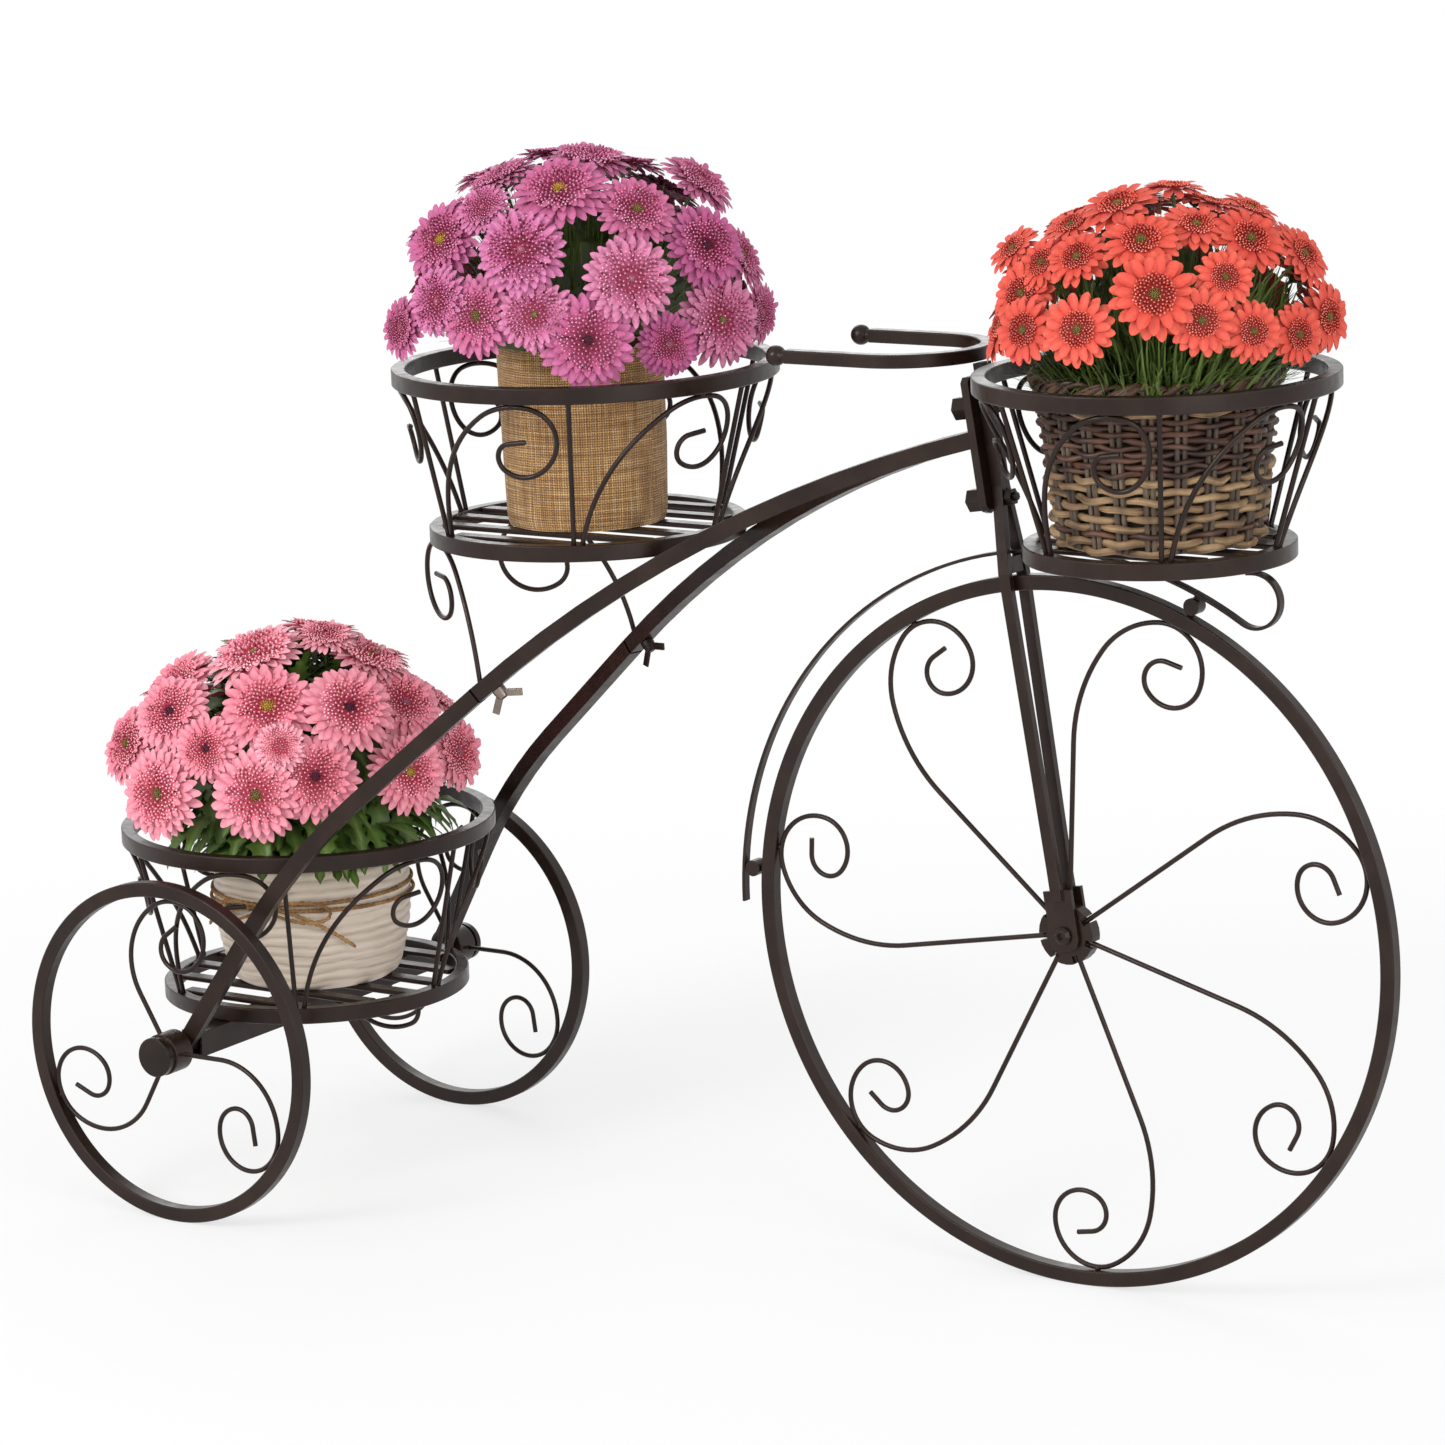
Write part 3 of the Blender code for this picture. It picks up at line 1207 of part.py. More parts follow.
def potted_plant(word, x, floor, sizes, pot_look, bloom_look):
    """One lift-out pot and the plant in it, standing on a basket's slats."""
    foot_radius, top_radius, height, ribs, bloom_radius, bloom_top = sizes
    frame = at(x, 0, floor)
    pot = pot_profile(foot_radius, top_radius, height, ribs)
    node(word + "_pot", [lathe(pot, frame, POT_STEPS)], pot_look)
    plant = plant_profile(foot_radius, top_radius, height, bloom_radius, bloom_top - floor)
    node(word + "_plant", [lathe(plant, frame, BLOOM_STEPS)], bloom_look)


def slat_top(bottom):
    """The height of a basket's floor, and the gap above it."""
    return bottom + RING_HEIGHT - SLAT_SINK + SEAT_GAP


def twine_bow(x, floor):
    """The twine round the ceramic pot, with the two loops of its bow on the near side."""
    share = TWINE_RISE / CERAMIC_HEIGHT
    wall = CERAMIC_FOOT_RADIUS + share * (CERAMIC_RADIUS - CERAMIC_FOOT_RADIUS)
    radius = wall + TWINE_RADIUS + SEAT_GAP + CERAMIC_RIB_DEPTH
    level = floor + TWINE_RISE
    sides = 2 * WIRE_RESOLUTION + 4
    profile = []
    for side in range(sides):
        angle = -2 * math.pi * side / sides
        profile.append((radius + TWINE_RADIUS * math.cos(angle), TWINE_RADIUS * math.sin(angle)))
    band = lathe(profile, at(x, 0, level), TWINE_TURN_STEPS)
    loops = []
    front = radius + 2 * TWINE_RADIUS + SEAT_GAP
    for side in (1, -1):
        frame = at(x, -front, level) @ UPRIGHT @ turned_by(-side * BOW_TILT, "Z")
        points = []
        for step in range(BOW_LOOP_STEPS + 1):
            angle = 2 * math.pi * step / BOW_LOOP_STEPS
            along = BOW_LOOP_LENGTH * (1 - math.cos(angle)) / 2
            across = BOW_LOOP_HALF * math.sin(angle) + TWINE_RADIUS * math.cos(angle / 2) * side
            lift = TWINE_RADIUS * math.cos(angle / 2) / 2
            points.append(frame @ Vector((side * along, across, lift)))
        loops.append(wire(points, TWINE_RADIUS))
    bow = node("twine_bow", [band], TWINE)
    knot = cylinder(TWINE_RADIUS * KNOT_SHARE, TWINE_RADIUS * KNOT_SHARE,
                    at(x, -radius, level) @ UPRIGHT, BOLT_SIDES)
    join(bow, "twine_knot", [knot])
    for index, loop in enumerate(loops):
        join(bow, f"twine_loop_{index + 1}", [loop])


def build():
    """Makes every sub-part in turn."""
    front_wheel()
    fork()
    head()
    handlebar()
    fender()
    side_tubes()
    seam_studs()
    rear_axle()
    rear_wheels()
    front_basket()
    upper_bottom = upper_basket()
    lower_bottom = lower_basket()
    front_floor = slat_top(front_basket_bottom())
    upper_floor = slat_top(upper_bottom)
    lower_floor = slat_top(lower_bottom)
    upper_x = REAR_AXLE_X + UPPER_BASKET_X
    lower_x = REAR_AXLE_X + LOWER_BASKET_X
    potted_plant("burlap", upper_x, upper_floor, (BURLAP_FOOT_RADIUS, BURLAP_RADIUS, BURLAP_HEIGHT, 0,
                                                  UPPER_BLOOM_RADIUS, UPPER_BLOOM_TOP), BURLAP, PINK_BLOOM)
    potted_plant("wicker", front_basket_x(), front_floor, (WICKER_FOOT_RADIUS, WICKER_RADIUS, WICKER_HEIGHT, 0,
                                                           FRONT_BLOOM_RADIUS, FRONT_BLOOM_TOP), WICKER,
                 CORAL_BLOOM)
    potted_plant("ceramic", lower_x, lower_floor, (CERAMIC_FOOT_RADIUS, CERAMIC_RADIUS, CERAMIC_HEIGHT,
                                                   CERAMIC_RIBS, LOWER_BLOOM_RADIUS, LOWER_BLOOM_TOP), CERAMIC,
                 ROSE_BLOOM)
    twine_bow(lower_x, lower_floor)


clear_scene()
PARTS = collection("bicycle_planter")
CUTTERS = collection("cutters")
build()
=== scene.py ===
"""Looks of the bicycle planter: smooth scrolled ironwork, three pots and their bouquets.

All sizes are in metres and all angles in degrees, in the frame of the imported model.
"""
import math

import bpy
import numpy as np
from mathutils import Matrix, Vector, noise

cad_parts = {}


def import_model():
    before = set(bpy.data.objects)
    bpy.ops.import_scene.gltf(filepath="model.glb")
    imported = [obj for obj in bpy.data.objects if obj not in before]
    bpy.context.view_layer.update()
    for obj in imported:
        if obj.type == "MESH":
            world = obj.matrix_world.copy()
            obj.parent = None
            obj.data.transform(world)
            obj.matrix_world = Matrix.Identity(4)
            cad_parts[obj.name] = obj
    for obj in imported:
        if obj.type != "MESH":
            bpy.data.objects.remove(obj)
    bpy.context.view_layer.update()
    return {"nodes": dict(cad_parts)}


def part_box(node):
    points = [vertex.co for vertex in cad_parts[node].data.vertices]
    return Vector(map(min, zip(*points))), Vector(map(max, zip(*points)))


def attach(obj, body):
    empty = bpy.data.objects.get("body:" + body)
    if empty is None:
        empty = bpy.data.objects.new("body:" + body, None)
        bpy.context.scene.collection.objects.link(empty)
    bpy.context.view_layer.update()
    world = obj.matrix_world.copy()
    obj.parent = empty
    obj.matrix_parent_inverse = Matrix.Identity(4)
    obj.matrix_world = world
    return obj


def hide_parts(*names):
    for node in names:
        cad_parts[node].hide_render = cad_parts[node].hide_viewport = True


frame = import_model()
RANDOM = np.random.default_rng(7)

# Camera: where it stands and how it looks
CAMERA_PLACE = (1.7913, -2.6413, 0.9909)
CAMERA_AZIMUTH = 34.21
CAMERA_ELEVATION = 11.84
CAMERA_ROLL = -2.17
CAMERA_LENS = 133.09
SENSOR_WIDTH = 36

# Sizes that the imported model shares
SIDES = (("left", 1), ("right", -1))
REAR_AXLE_X = -0.3333
FRONT_AXLE_X = 0.2373
FRONT_RADIUS = 0.215
REAR_RADIUS = 0.110
HALF_TRACK = 0.150
RIM_BAR = 0.009
SEAT_GAP = 0.0003
WELD_DEPTH = 0.001
HUB_RADIUS = 0.0183
SPOKE_RADIUS = 0.00155
HUB_SLOT_DEPTH = 0.005
FRONT_SPOKES = 7
FRONT_SPOKE_START = 138.5
FRONT_SPOKE_BENDS = ((0.100, 35), (0.050, 50), (0.0270, 118), (0.0195, 120), (0.0120, 140))
FRONT_SPOKE_TAIL = 0.010
REAR_HUB_RADIUS = 0.0165
REAR_HUB_HALF = 0.008
REAR_HUB_BORE = 0.0043
REAR_BOSS_RADIUS = 0.0115
REAR_BOSS_HEIGHT = 0.0025
REAR_DRUM_RADIUS = 0.0132
REAR_CAP_RADIUS = 0.0126
CAP_HEIGHT = 0.0045
CAP_CROWN = (0.0003, 0.0002)
REAR_SPOKES = 3
REAR_SPOKE_BENDS = ((0.0430, 90), (0.0285, 47), (0.0225, 147), (0.0155, 62), (0.0120, 97))
REAR_SPOKE_TAIL = 0.012
RING_HEIGHT = 0.010
RING_WIDTH = 0.0085
WIRE_RADIUS = 0.0016
BASKET_WIRES = 6
SLAT_WIDTH = 0.010
SLAT_THICKNESS = 0.003
SLAT_PITCH = 0.029
SLAT_SINK = 0.0005
SCROLL_SHIFT = 0.005
SCROLL_HEADING = 76
SCROLL_BENDS = ((0.125, 44), (0.0447, 44), (0.0211, 114), (0.0242, 86), (0.0093, 142))
SCROLL_TAIL = 0.012
SCROLL_REFERENCE_RADIUS = 0.115
FORK_RAKE = 8.36
HANDLE_BAR = 0.008
HANDLE_UNDERSIDE = 0.5533
HANDLE_RADIUS = 0.0466
HANDLE_SETBACK = 0.0035
HANDLE_ARM = 0.055
BALL_RADIUS = 0.0062
BALL_NECK_RADIUS = 0.0034
BALL_NECK_LENGTH = 0.0032
STRAP_RADIUS = 0.230
STRAP_THICKNESS = 0.002
STRAP_WIDTH = 0.006
STRAP_ANGLES = (181, 58.5)
STRAP_CURL = ((0.0160, -215),)
STRAP_CURL_TAIL = 0.004
LEG_TURN = 34
LEG_HEADING = 102
LEG_BENDS = ((0.150, -25), (0.0400, -54), (0.0234, -59), (0.0240, -151), (0.0125, -148))
LEG_TAIL = 0.013
LEG_SINK = 0.0025
BRACE_HEADING = -20
BRACE_STRAIGHT = 0.036
BRACE_BENDS = ((0.0450, -45), (0.0110, -190))
BRACE_TAIL = 0.006

# The tube seams and the wing nuts under them, along the tube and down from the nut's seat
SEAM_ALONG = (0.7557, 0.1877, 0.6274)
SEAM_DOWN = (0.6089, 0.1515, -0.7787)
SEAM_SEAT = 0.00055
SEAM_SETBACK = 0.01345
SEAM_DEPTH = 0.0053
SEAM_LINE = (0.0012, 0.0103)
WING_HUB = ((0.0023, 0.0001), (0.0043, 0.0001), (0.0043, 0.0020), (0.0034, 0.0066), (0.0023, 0.0066))
WING_ROOT = (0.0015, 0.0030)
WING_LENGTH = 0.0125
WING_WIDTH = 0.0046
WING_THICKNESS = 0.0016
WING_RISE = 35

# The baskets: name, middle, shift of the top ring, radii of the rings and height
BASKETS = (
    ("front_basket", 0.3037, 0.0, 0.079, 0.106, 0.108),
    ("upper_basket", -0.0988, 0.003, 0.0977, 0.119, 0.1085),
    ("lower_basket", -0.3313, 0.0, 0.099, 0.121, 0.1135),
)

# Fineness of the forms made here
FINE_SAG = 0.00004
WIRE_SIDES = 10
RING_STEPS = 128
FRONT_RIM_STEPS = 320
REAR_RIM_STEPS = 200
TURNED_STEPS = 48
EDGE = 0.0006
BEAD_STEPS = 10
GOLDEN_TURN = 137.508


# Small helpers for places and turns
def shifted(x, y=0, z=0):
    return Matrix.Translation((x, y, z))


def turned(angle, axis):
    return Matrix.Rotation(math.radians(angle), 4, axis)


def circle_of(count):
    """Turns in radians, spaced evenly round a circle."""
    return [2 * math.pi * index / count for index in range(count)]


def around(foot, radius, turn, rise=0.0):
    """A point round the upright line through a foot, at a turn in radians and a rise."""
    return (foot[0] + radius * math.cos(turn), foot[1] + radius * math.sin(turn), foot[2] + rise)


def drifting(turn, scale, level):
    """Smooth noise round a circle, from about -1 to 1."""
    return noise.noise(Vector((scale * math.cos(turn), scale * math.sin(turn), level)))


UPRIGHT = turned(90, "X")


# Forms: points and faces
class Shape:
    """Points and faces gathered for one piece, with a tone and a chance per point and a look per face."""

    def __init__(self):
        self.points, self.faces, self.tones, self.chances, self.looks = [], [], [], [], []
        self.count = 0

    def add(self, form, tone=0.0, chance=0.0, look=0):
        points = np.asarray(form[0], float).reshape(-1, 3)
        self.points.append(points)
        for values, value in ((self.tones, tone), (self.chances, chance)):
            values.append(np.broadcast_to(np.asarray(value, float), len(points)))
        self.faces += [tuple(index + self.count for index in face) for face in form[1]]
        self.looks += [look] * len(form[1])
        self.count += len(points)

    def mesh(self, name):
        made = bpy.data.meshes.new(name)
        made.from_pydata(np.concatenate(self.points).tolist(), [], self.faces)
        for word, values in (("tone", self.tones), ("chance", self.chances)):
            attribute = made.attributes.new(word, "FLOAT", "POINT")
            attribute.data.foreach_set("value", np.concatenate(values).astype(np.float32))
        made.polygons.foreach_set("material_index", self.looks)
        made.update()
        return made


def map_cloth(mesh):
    """Adds the cloth map: distance round the stick or pot, and distance along it."""
    index = np.zeros(len(mesh.loops), np.int32)
    mesh.loops.foreach_get("vertex_index", index)
    parts = []
    for word in ("chance", "tone"):
        values = np.zeros(len(mesh.vertices), np.float32)
        mesh.attributes[word].data.foreach_get("value", values)
        parts.append(values[index])
    mesh.uv_layers.new(name="cloth").data.foreach_set("uv", np.stack(parts, 1).ravel())


def piece(name, shape, materials, body, nodes=(), sharp=40, cloth=False):
    """One finished piece of the object, which rides on a body and may replace CAD nodes."""
    mesh = shape.mesh(name)
    for look in materials:
        mesh.materials.append(look)
    mesh.shade_smooth()
    mesh.set_sharp_from_angle(angle=math.radians(sharp))
    if cloth:
        map_cloth(mesh)
    obj = bpy.data.objects.new(name, mesh)
    bpy.context.scene.collection.objects.link(obj)
    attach(obj, body)
    if nodes:
        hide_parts(*nodes)


def placed(form, matrix):
    """A form moved by a matrix."""
    points = np.asarray(form[0], float).reshape(-1, 3)
    table = np.array(matrix, float)
    return points @ table[:3, :3].T + table[:3, 3], form[1]


def grid_faces(rows, columns, wrap=False, closed=False):
    """The quads between rows of points, joined round each row and from the last row to the first."""
    faces = []
    for row in range(rows if closed else rows - 1):
        low, high = row * columns, (row + 1) % rows * columns
        for column in range(columns if wrap else columns - 1):
            after = (column + 1) % columns
            faces.append((low + column, low + after, high + after, high + column))
    return faces


def tube(points, radius=1.0, sides=WIRE_SIDES, section=None, closed=False):
    """A bar along points, round or with a given section, with its frame carried along."""
    line = np.asarray(points, float)
    count = len(line)
    along = np.roll(line, -1, 0) - np.roll(line, 1, 0) if closed else np.gradient(line, axis=0)
    along /= np.linalg.norm(along, axis=1)[:, None]
    if section is None:
        section = [(math.cos(turn), math.sin(turn)) for turn in circle_of(sides)]
    section, sides = np.asarray(section, float), len(section)
    scale = np.broadcast_to(np.asarray(radius, float), count)
    side = np.cross(along[0], (0, 0, 1.0) if abs(along[0][2]) < 0.9 else (1.0, 0, 0))
    rows = []
    for index in range(count):
        side = side - (side @ along[index]) * along[index]
        side /= np.linalg.norm(side)
        up = np.cross(side, along[index])
        rows.append(line[index] + scale[index] * (section[:, :1] * side + section[:, 1:] * up))
    faces = grid_faces(count, sides, True, closed)
    if not closed:
        faces += [tuple(range(sides))[::-1], tuple(range((count - 1) * sides, count * sides))]
    return np.concatenate(rows), faces


def lathe(profile, steps=TURNED_STEPS, closed=True):
    """A turned form round Z. A closed profile makes a ring."""
    points = [around((0, 0, height), radius, turn)
              for radius, height in profile for turn in circle_of(steps)]
    return points, grid_faces(len(profile), steps, True, closed)


def rounded_section(half_width, half_height, edge=EDGE):
    """A rectangular section with its corners cut by small bevels."""
    points = []
    for index, (side, level) in enumerate(((1, 1), (-1, 1), (-1, -1), (1, -1))):
        corner = [(side * (half_width - edge), level * half_height),
                  (side * half_width, level * (half_height - edge))]
        points += corner[::-1] if index % 2 == 0 else corner
    return points


def ring(outer, width, top, height, steps=RING_STEPS):
    """A rolled square bar with softened edges."""
    middle = outer - width / 2
    section = rounded_section(width / 2, height / 2)
    return lathe([(middle + x, top - height / 2 + z) for x, z in section], steps)


def box_bar(length, width, thickness):
    """A flat bar along X with softened edges."""
    section = rounded_section(width / 2, thickness / 2, min(EDGE, thickness / 4))
    points = [(x, y, z) for x in (-length / 2, length / 2) for y, z in section]
    count = len(section)
    return points, grid_faces(2, count, True) + [tuple(range(count))[::-1], tuple(range(count, 2 * count))]


def ball(radius, centre, stretch=(1, 1, 1), steps=BEAD_STEPS):
    """A round bead."""
    rows = steps // 2 + 1
    points = []
    for row in range(rows):
        rise = math.pi * row / (rows - 1)
        for turn in circle_of(steps):
            unit = (math.sin(rise) * math.cos(turn), math.sin(rise) * math.sin(turn), math.cos(rise))
            points.append([centre[axis] + radius * stretch[axis] * unit[axis] for axis in range(3)])
    return points, grid_faces(rows, steps, True)


def bent_path(start, heading, straight, bends, tail):
    """Points along a bar that runs straight, bends to the right and ends straight."""
    place = Vector(start)
    direction = math.radians(heading)
    points = [place.copy()]

    def walk(length):
        nonlocal place
        place = place + length * Vector((math.cos(direction), math.sin(direction)))
        points.append(place)

    if straight > 0:
        walk(straight)
    for radius, sweep in bends:
        steps = max(2, math.ceil(math.radians(abs(sweep)) / (2 * math.acos(1 - FINE_SAG / radius))))
        turn = math.radians(sweep) / steps
        for _ in range(steps):
            direction -= turn / 2
            walk(2 * radius * math.sin(abs(turn) / 2))
            direction -= turn / 2
    if tail > 0:
        walk(tail)
    return points


def scroll_reaching(limit, measure, start, heading, bends, tail):
    """A bent path whose first straight is set so that its farthest point just meets a limit."""
    low, high = 0, 2 * limit
    while high - low > 1e-6:
        straight = (low + high) / 2
        if max(measure(point) for point in bent_path(start, heading, straight, bends, tail)) > limit:
            high = straight
        else:
            low = straight
    return bent_path(start, heading, low, bends, tail)


# Materials: colours are given on the screen's scale of 0 to 255, and greys as one share
def linear(colour):
    """A colour or a grey as the shaders take it."""
    if not isinstance(colour, tuple):
        return (colour,) * 3
    shares = [value / 255 for value in colour]
    return tuple(share / 12.92 if share <= 0.04045 else ((share + 0.055) / 1.055) ** 2.4
                 for share in shares)


class Nodes:
    """The nodes of a material or a world, with short ways to add and link them."""

    def __init__(self, owner):
        owner.use_nodes = True
        self.owner, self.tree = owner, owner.node_tree
        self.shader = self.tree.nodes.get("Principled BSDF")

    def put(self, socket, value):
        if isinstance(value, bpy.types.NodeSocket):
            self.tree.links.new(value, socket)
        else:
            socket.default_value = value

    def add(self, kind, inputs=None, output=0, **values):
        """Adds a node, sets what it needs and gives one of its outputs, or the node itself for None."""
        node = self.tree.nodes.new("ShaderNode" + kind)
        for key, value in values.items():
            setattr(node, key, value)
        for key, value in (inputs or {}).items():
            self.put(node.inputs[key], value)
        return node if output is None else node.outputs[output]

    def place(self):
        return self.add("TexCoord", output="Object")

    def cloth(self):
        return self.add("UVMap", uv_map="cloth")

    def value(self, name):
        """The tone or the chance of a point."""
        return self.add("Attribute", output="Fac", attribute_name=name)

    def noise(self, vector, scale, detail=2.0, rough=0.5, output="Fac"):
        inputs = {"Vector": vector, "Scale": scale, "Detail": detail, "Roughness": rough}
        return self.add("TexNoise", inputs, output)

    def stretched(self, vector, *scale):
        return self.add("Mapping", {"Vector": vector, "Scale": scale})

    def maths(self, operation, *values):
        return self.add("Math", dict(enumerate(values)), operation=operation)

    def vectors(self, operation, first, second=None, output=0):
        inputs = {0: first} if second is None else {0: first, 1: second}
        return self.add("VectorMath", inputs, output, operation=operation)

    def average(self, first, second):
        return self.maths("MULTIPLY", self.maths("ADD", first, second), 0.5)

    def ramp(self, factor, *stops, interpolation="LINEAR"):
        """A colour ramp over a factor: stops of a place and a colour or a grey."""
        node = self.add("ValToRGB", {"Fac": factor}, None)
        node.color_ramp.interpolation = interpolation
        elements = node.color_ramp.elements
        while len(elements) < len(stops):
            elements.new(0.5)
        for element, (place, colour) in zip(elements, stops):
            element.position = place
            element.color = (*linear(colour), 1)
        return node.outputs["Color"]

    def mix(self, factor, first, second, blend="MIX"):
        """Two colours mixed."""
        node = self.add("Mix", data_type="RGBA", blend_type=blend).node
        for key, value in (("Factor", factor), ("A", first), ("B", second)):
            socket = [s for s in node.inputs if s.name == key and s.enabled][0]
            self.put(socket, (*linear(value), 1) if isinstance(value, tuple) else value)
        return [s for s in node.outputs if s.enabled][0]

    def eased(self, value, start, end, low, high):
        """A value carried smoothly from one range to another."""
        limits = {"From Min": start, "From Max": end, "To Min": low, "To Max": high}
        return self.add("MapRange", {"Value": value, **limits}, "Result", interpolation_type="SMOOTHSTEP")

    def seen_directly(self):
        """One for a ray from the camera, a reflection or a clear material, and else zero."""
        seen, glossy, clear = (self.add("LightPath", output=f"Is {word} Ray")
                               for word in ("Camera", "Glossy", "Transmission"))
        return self.maths("MAXIMUM", self.maths("MAXIMUM", seen, glossy), clear)

    def finish(self, colour, roughness, height, distance, strength, normal=None, **constants):
        """Sends colour, roughness and bump to the shader, and sets its constants."""
        inputs = {"Height": height, "Distance": distance, "Strength": strength}
        if normal is not None:
            inputs["Normal"] = normal
        shader = self.shader.inputs
        self.put(shader["Base Color"], colour)
        self.put(shader["Roughness"], roughness)
        self.put(shader["Normal"], self.add("Bump", inputs))
        for key, value in constants.items():
            shader[key.replace("_", " ")].default_value = value
        return self.owner


def new_look(name):
    return Nodes(bpy.data.materials.new(name))


def metal_look(name, dark, light, edge, roughness, metallic, bevel=0.0007, grain=0.00006, shine=0.32):
    """A coated or bare metal: mottled colour, a fine grain and a painted highlight that lightens its edges.
    """
    look = new_look(name)
    place = look.place()
    fine = look.noise(place, 900)
    colour = look.ramp(look.noise(place, 35, 3), (0.35, dark), (0.68, light))
    colour = look.mix(0.25, colour, look.ramp(fine, (0.4, 0.0), (0.6, light)), "SOFT_LIGHT")
    soft = look.add("Bevel", {"Radius": bevel}, samples=4)
    flat = look.add("NewGeometry", output="Normal")
    turn = look.vectors("DOT_PRODUCT", soft, flat, "Value")
    # Painted highlight: where the bevelled normal turns from the flat one, the colour is mixed towards the
    # edge colour.
    painted_edge_highlight = look.ramp(turn, (0.86, 1.0), (0.985, 0.0))
    colour = look.mix(look.maths("MULTIPLY", painted_edge_highlight, 0.35), colour, edge)
    rough = look.ramp(look.noise(place, 120, 3), (0.3, roughness - 0.07), (0.7, roughness + 0.07))
    return look.finish(colour, rough, fine, grain, 0.6, soft, Metallic=metallic, Specular_IOR_Level=shine)


THREAD_PITCH = 0.00155


def burlap_look():
    """Plain-woven jute: threads over and under on the cloth's own map, with slubs and painted shade in the
    gaps between threads.
    """
    look = new_look("burlap_cloth")
    cloth = look.cloth()
    wavy = look.vectors("MULTIPLY", look.noise(cloth, 90.0, output="Color"), (0.0009, 0.0009, 0.0))
    split = look.add("SeparateXYZ", {0: look.vectors("ADD", cloth, wavy)}).node
    across, up = (look.maths("MULTIPLY", split.outputs[axis], 1 / THREAD_PITCH) for axis in "XY")
    count = look.maths("ADD", look.maths("FLOOR", across), look.maths("FLOOR", up))
    over = look.maths("FLOORED_MODULO", count, 2.0)
    heights = []
    for thread, above in ((across, over), (up, look.maths("SUBTRACT", 1.0, over))):
        bulge = look.maths("ABSOLUTE", look.maths("SINE", look.maths("MULTIPLY", thread, math.pi)))
        heights.append(look.maths("MULTIPLY", bulge, look.maths("MULTIPLY_ADD", above, 0.45, 0.55)))
    height = look.maths("MAXIMUM", *heights)
    streak = look.noise(look.stretched(cloth, 600.0, 22.0, 1.0), 1.0)
    cross = look.noise(look.stretched(cloth, 25.0, 520.0, 1.0), 1.0)
    yarn = look.ramp(look.average(streak, cross), (0.34, (140, 98, 52)), (0.5, (190, 146, 92)),
                     (0.64, (230, 192, 138)))
    # Painted shade: the colour falls to dark brown where the threads are low, in the gaps between them.
    colour = look.mix(look.ramp(height, (0.3, 0.0), (0.85, 1.0)), (84, 50, 20), yarn)
    broad = look.ramp(look.noise(cloth, 18, 3), (0.35, 0.32), (0.65, 0.62))
    colour = look.mix(0.55, colour, broad, "SOFT_LIGHT")
    rough = look.ramp(height, (0.0, 1.0), (1.0, 0.82))
    return look.finish(colour, rough, height, 0.0008, 0.8, Sheen_Weight=0.15)


def streaked_look(name, dark, middle, light, roughness, along=14.0, across=260.0):
    """Bark, willow or twine: streaks that follow the stick's own map."""
    look = new_look(name)
    streak = look.noise(look.stretched(look.cloth(), across, along, 1.0), 1.0, 4, 0.6)
    patch = look.noise(look.place(), 60, 3)
    colour = look.ramp(look.average(streak, patch), (0.36, dark), (0.5, middle), (0.64, light))
    rough = look.ramp(patch, (0.3, roughness - 0.1), (0.7, roughness + 0.1))
    return look.finish(colour, rough, streak, 0.0004, 0.8)


def ceramic_look():
    """Off-white ribbed stoneware with a satin glaze, and painted shade that makes the grooves darker and
    warmer.
    """
    look = new_look("ribbed_ceramic")
    place = look.place()
    lines = look.noise(look.stretched(place, 14.0, 14.0, 520.0), 1.0, 3, 0.55)
    stain = look.noise(place, 26, 3)
    # Painted shade: the rib tone is low in the grooves, where the colour turns darker and warmer.
    colour = look.ramp(look.value("tone"), (0.1, (150, 130, 112)), (0.55, (197, 180, 162)),
                       (1.0, (218, 203, 187)))
    colour = look.mix(0.35, colour, look.ramp(lines, (0.35, (168, 150, 132)), (0.62, (225, 211, 195))))
    colour = look.mix(0.25, colour, look.ramp(stain, (0.35, (180, 161, 141)), (0.65, (220, 206, 191))))
    rough = look.ramp(stain, (0.3, 0.42), (0.7, 0.6))
    return look.finish(colour, rough, lines, 0.0006, 0.7, Coat_Weight=0.15, Coat_Roughness=0.3)


PETAL_STOPS = (0.0, 0.35, 0.55, 0.75, 1.0)


def petal_look(name, first, second, second_stops=PETAL_STOPS):
    """A petal: its colour runs from the flower's heart to the tip, with fine veins and two hues."""
    look = new_look(name)
    tone = look.value("tone")
    hues = [look.ramp(tone, *zip(stops, colours))
            for stops, colours in ((PETAL_STOPS, first), (second_stops, second))]
    grain = look.noise(look.place(), 420, 3)
    hue = look.mix(look.value("chance"), *hues)
    colour = look.mix(0.4, hue, look.ramp(grain, (0.35, 0.36), (0.65, 0.62)), "SOFT_LIGHT")
    rough = look.ramp(grain, (0.3, 0.5), (0.7, 0.66))
    return look.finish(colour, rough, grain, 0.0003, 0.5, Sheen_Weight=0.12, Specular_IOR_Level=0.3)


def heart_look():
    """The middle of a bloom: yellow, olive, plum or rose by the flower's chance."""
    look = new_look("flower_heart")
    tint = look.ramp(look.value("chance"), (0.0, (216, 178, 70)), (0.26, (150, 132, 66)),
                     (0.51, (110, 34, 66)), (0.76, (214, 120, 146)), interpolation="CONSTANT")
    grain = look.noise(look.place(), 700)
    colour = look.mix(0.6, tint, look.ramp(grain, (0.4, 0.25), (0.6, 0.7)), "SOFT_LIGHT")
    colour = look.mix(0.75, colour, look.ramp(look.value("tone"), (0.0, 0.22), (1.0, 1.0)), "MULTIPLY")
    return look.finish(colour, look.ramp(grain, (0.3, 0.6), (0.7, 0.8)), grain, 0.0006, 0.8)


def leaf_look(name, dark, light, vein):
    """A leaf: darker at the edge, lighter along the midrib, with small patches."""
    look = new_look(name)
    patch = look.noise(look.place(), 110, 3)
    colour = look.mix(look.average(patch, look.value("chance")), dark, light)
    colour = look.mix(look.maths("MULTIPLY", look.value("tone"), 0.45), colour, vein)
    return look.finish(colour, look.ramp(patch, (0.3, 0.42), (0.7, 0.62)), patch, 0.0008, 0.6)
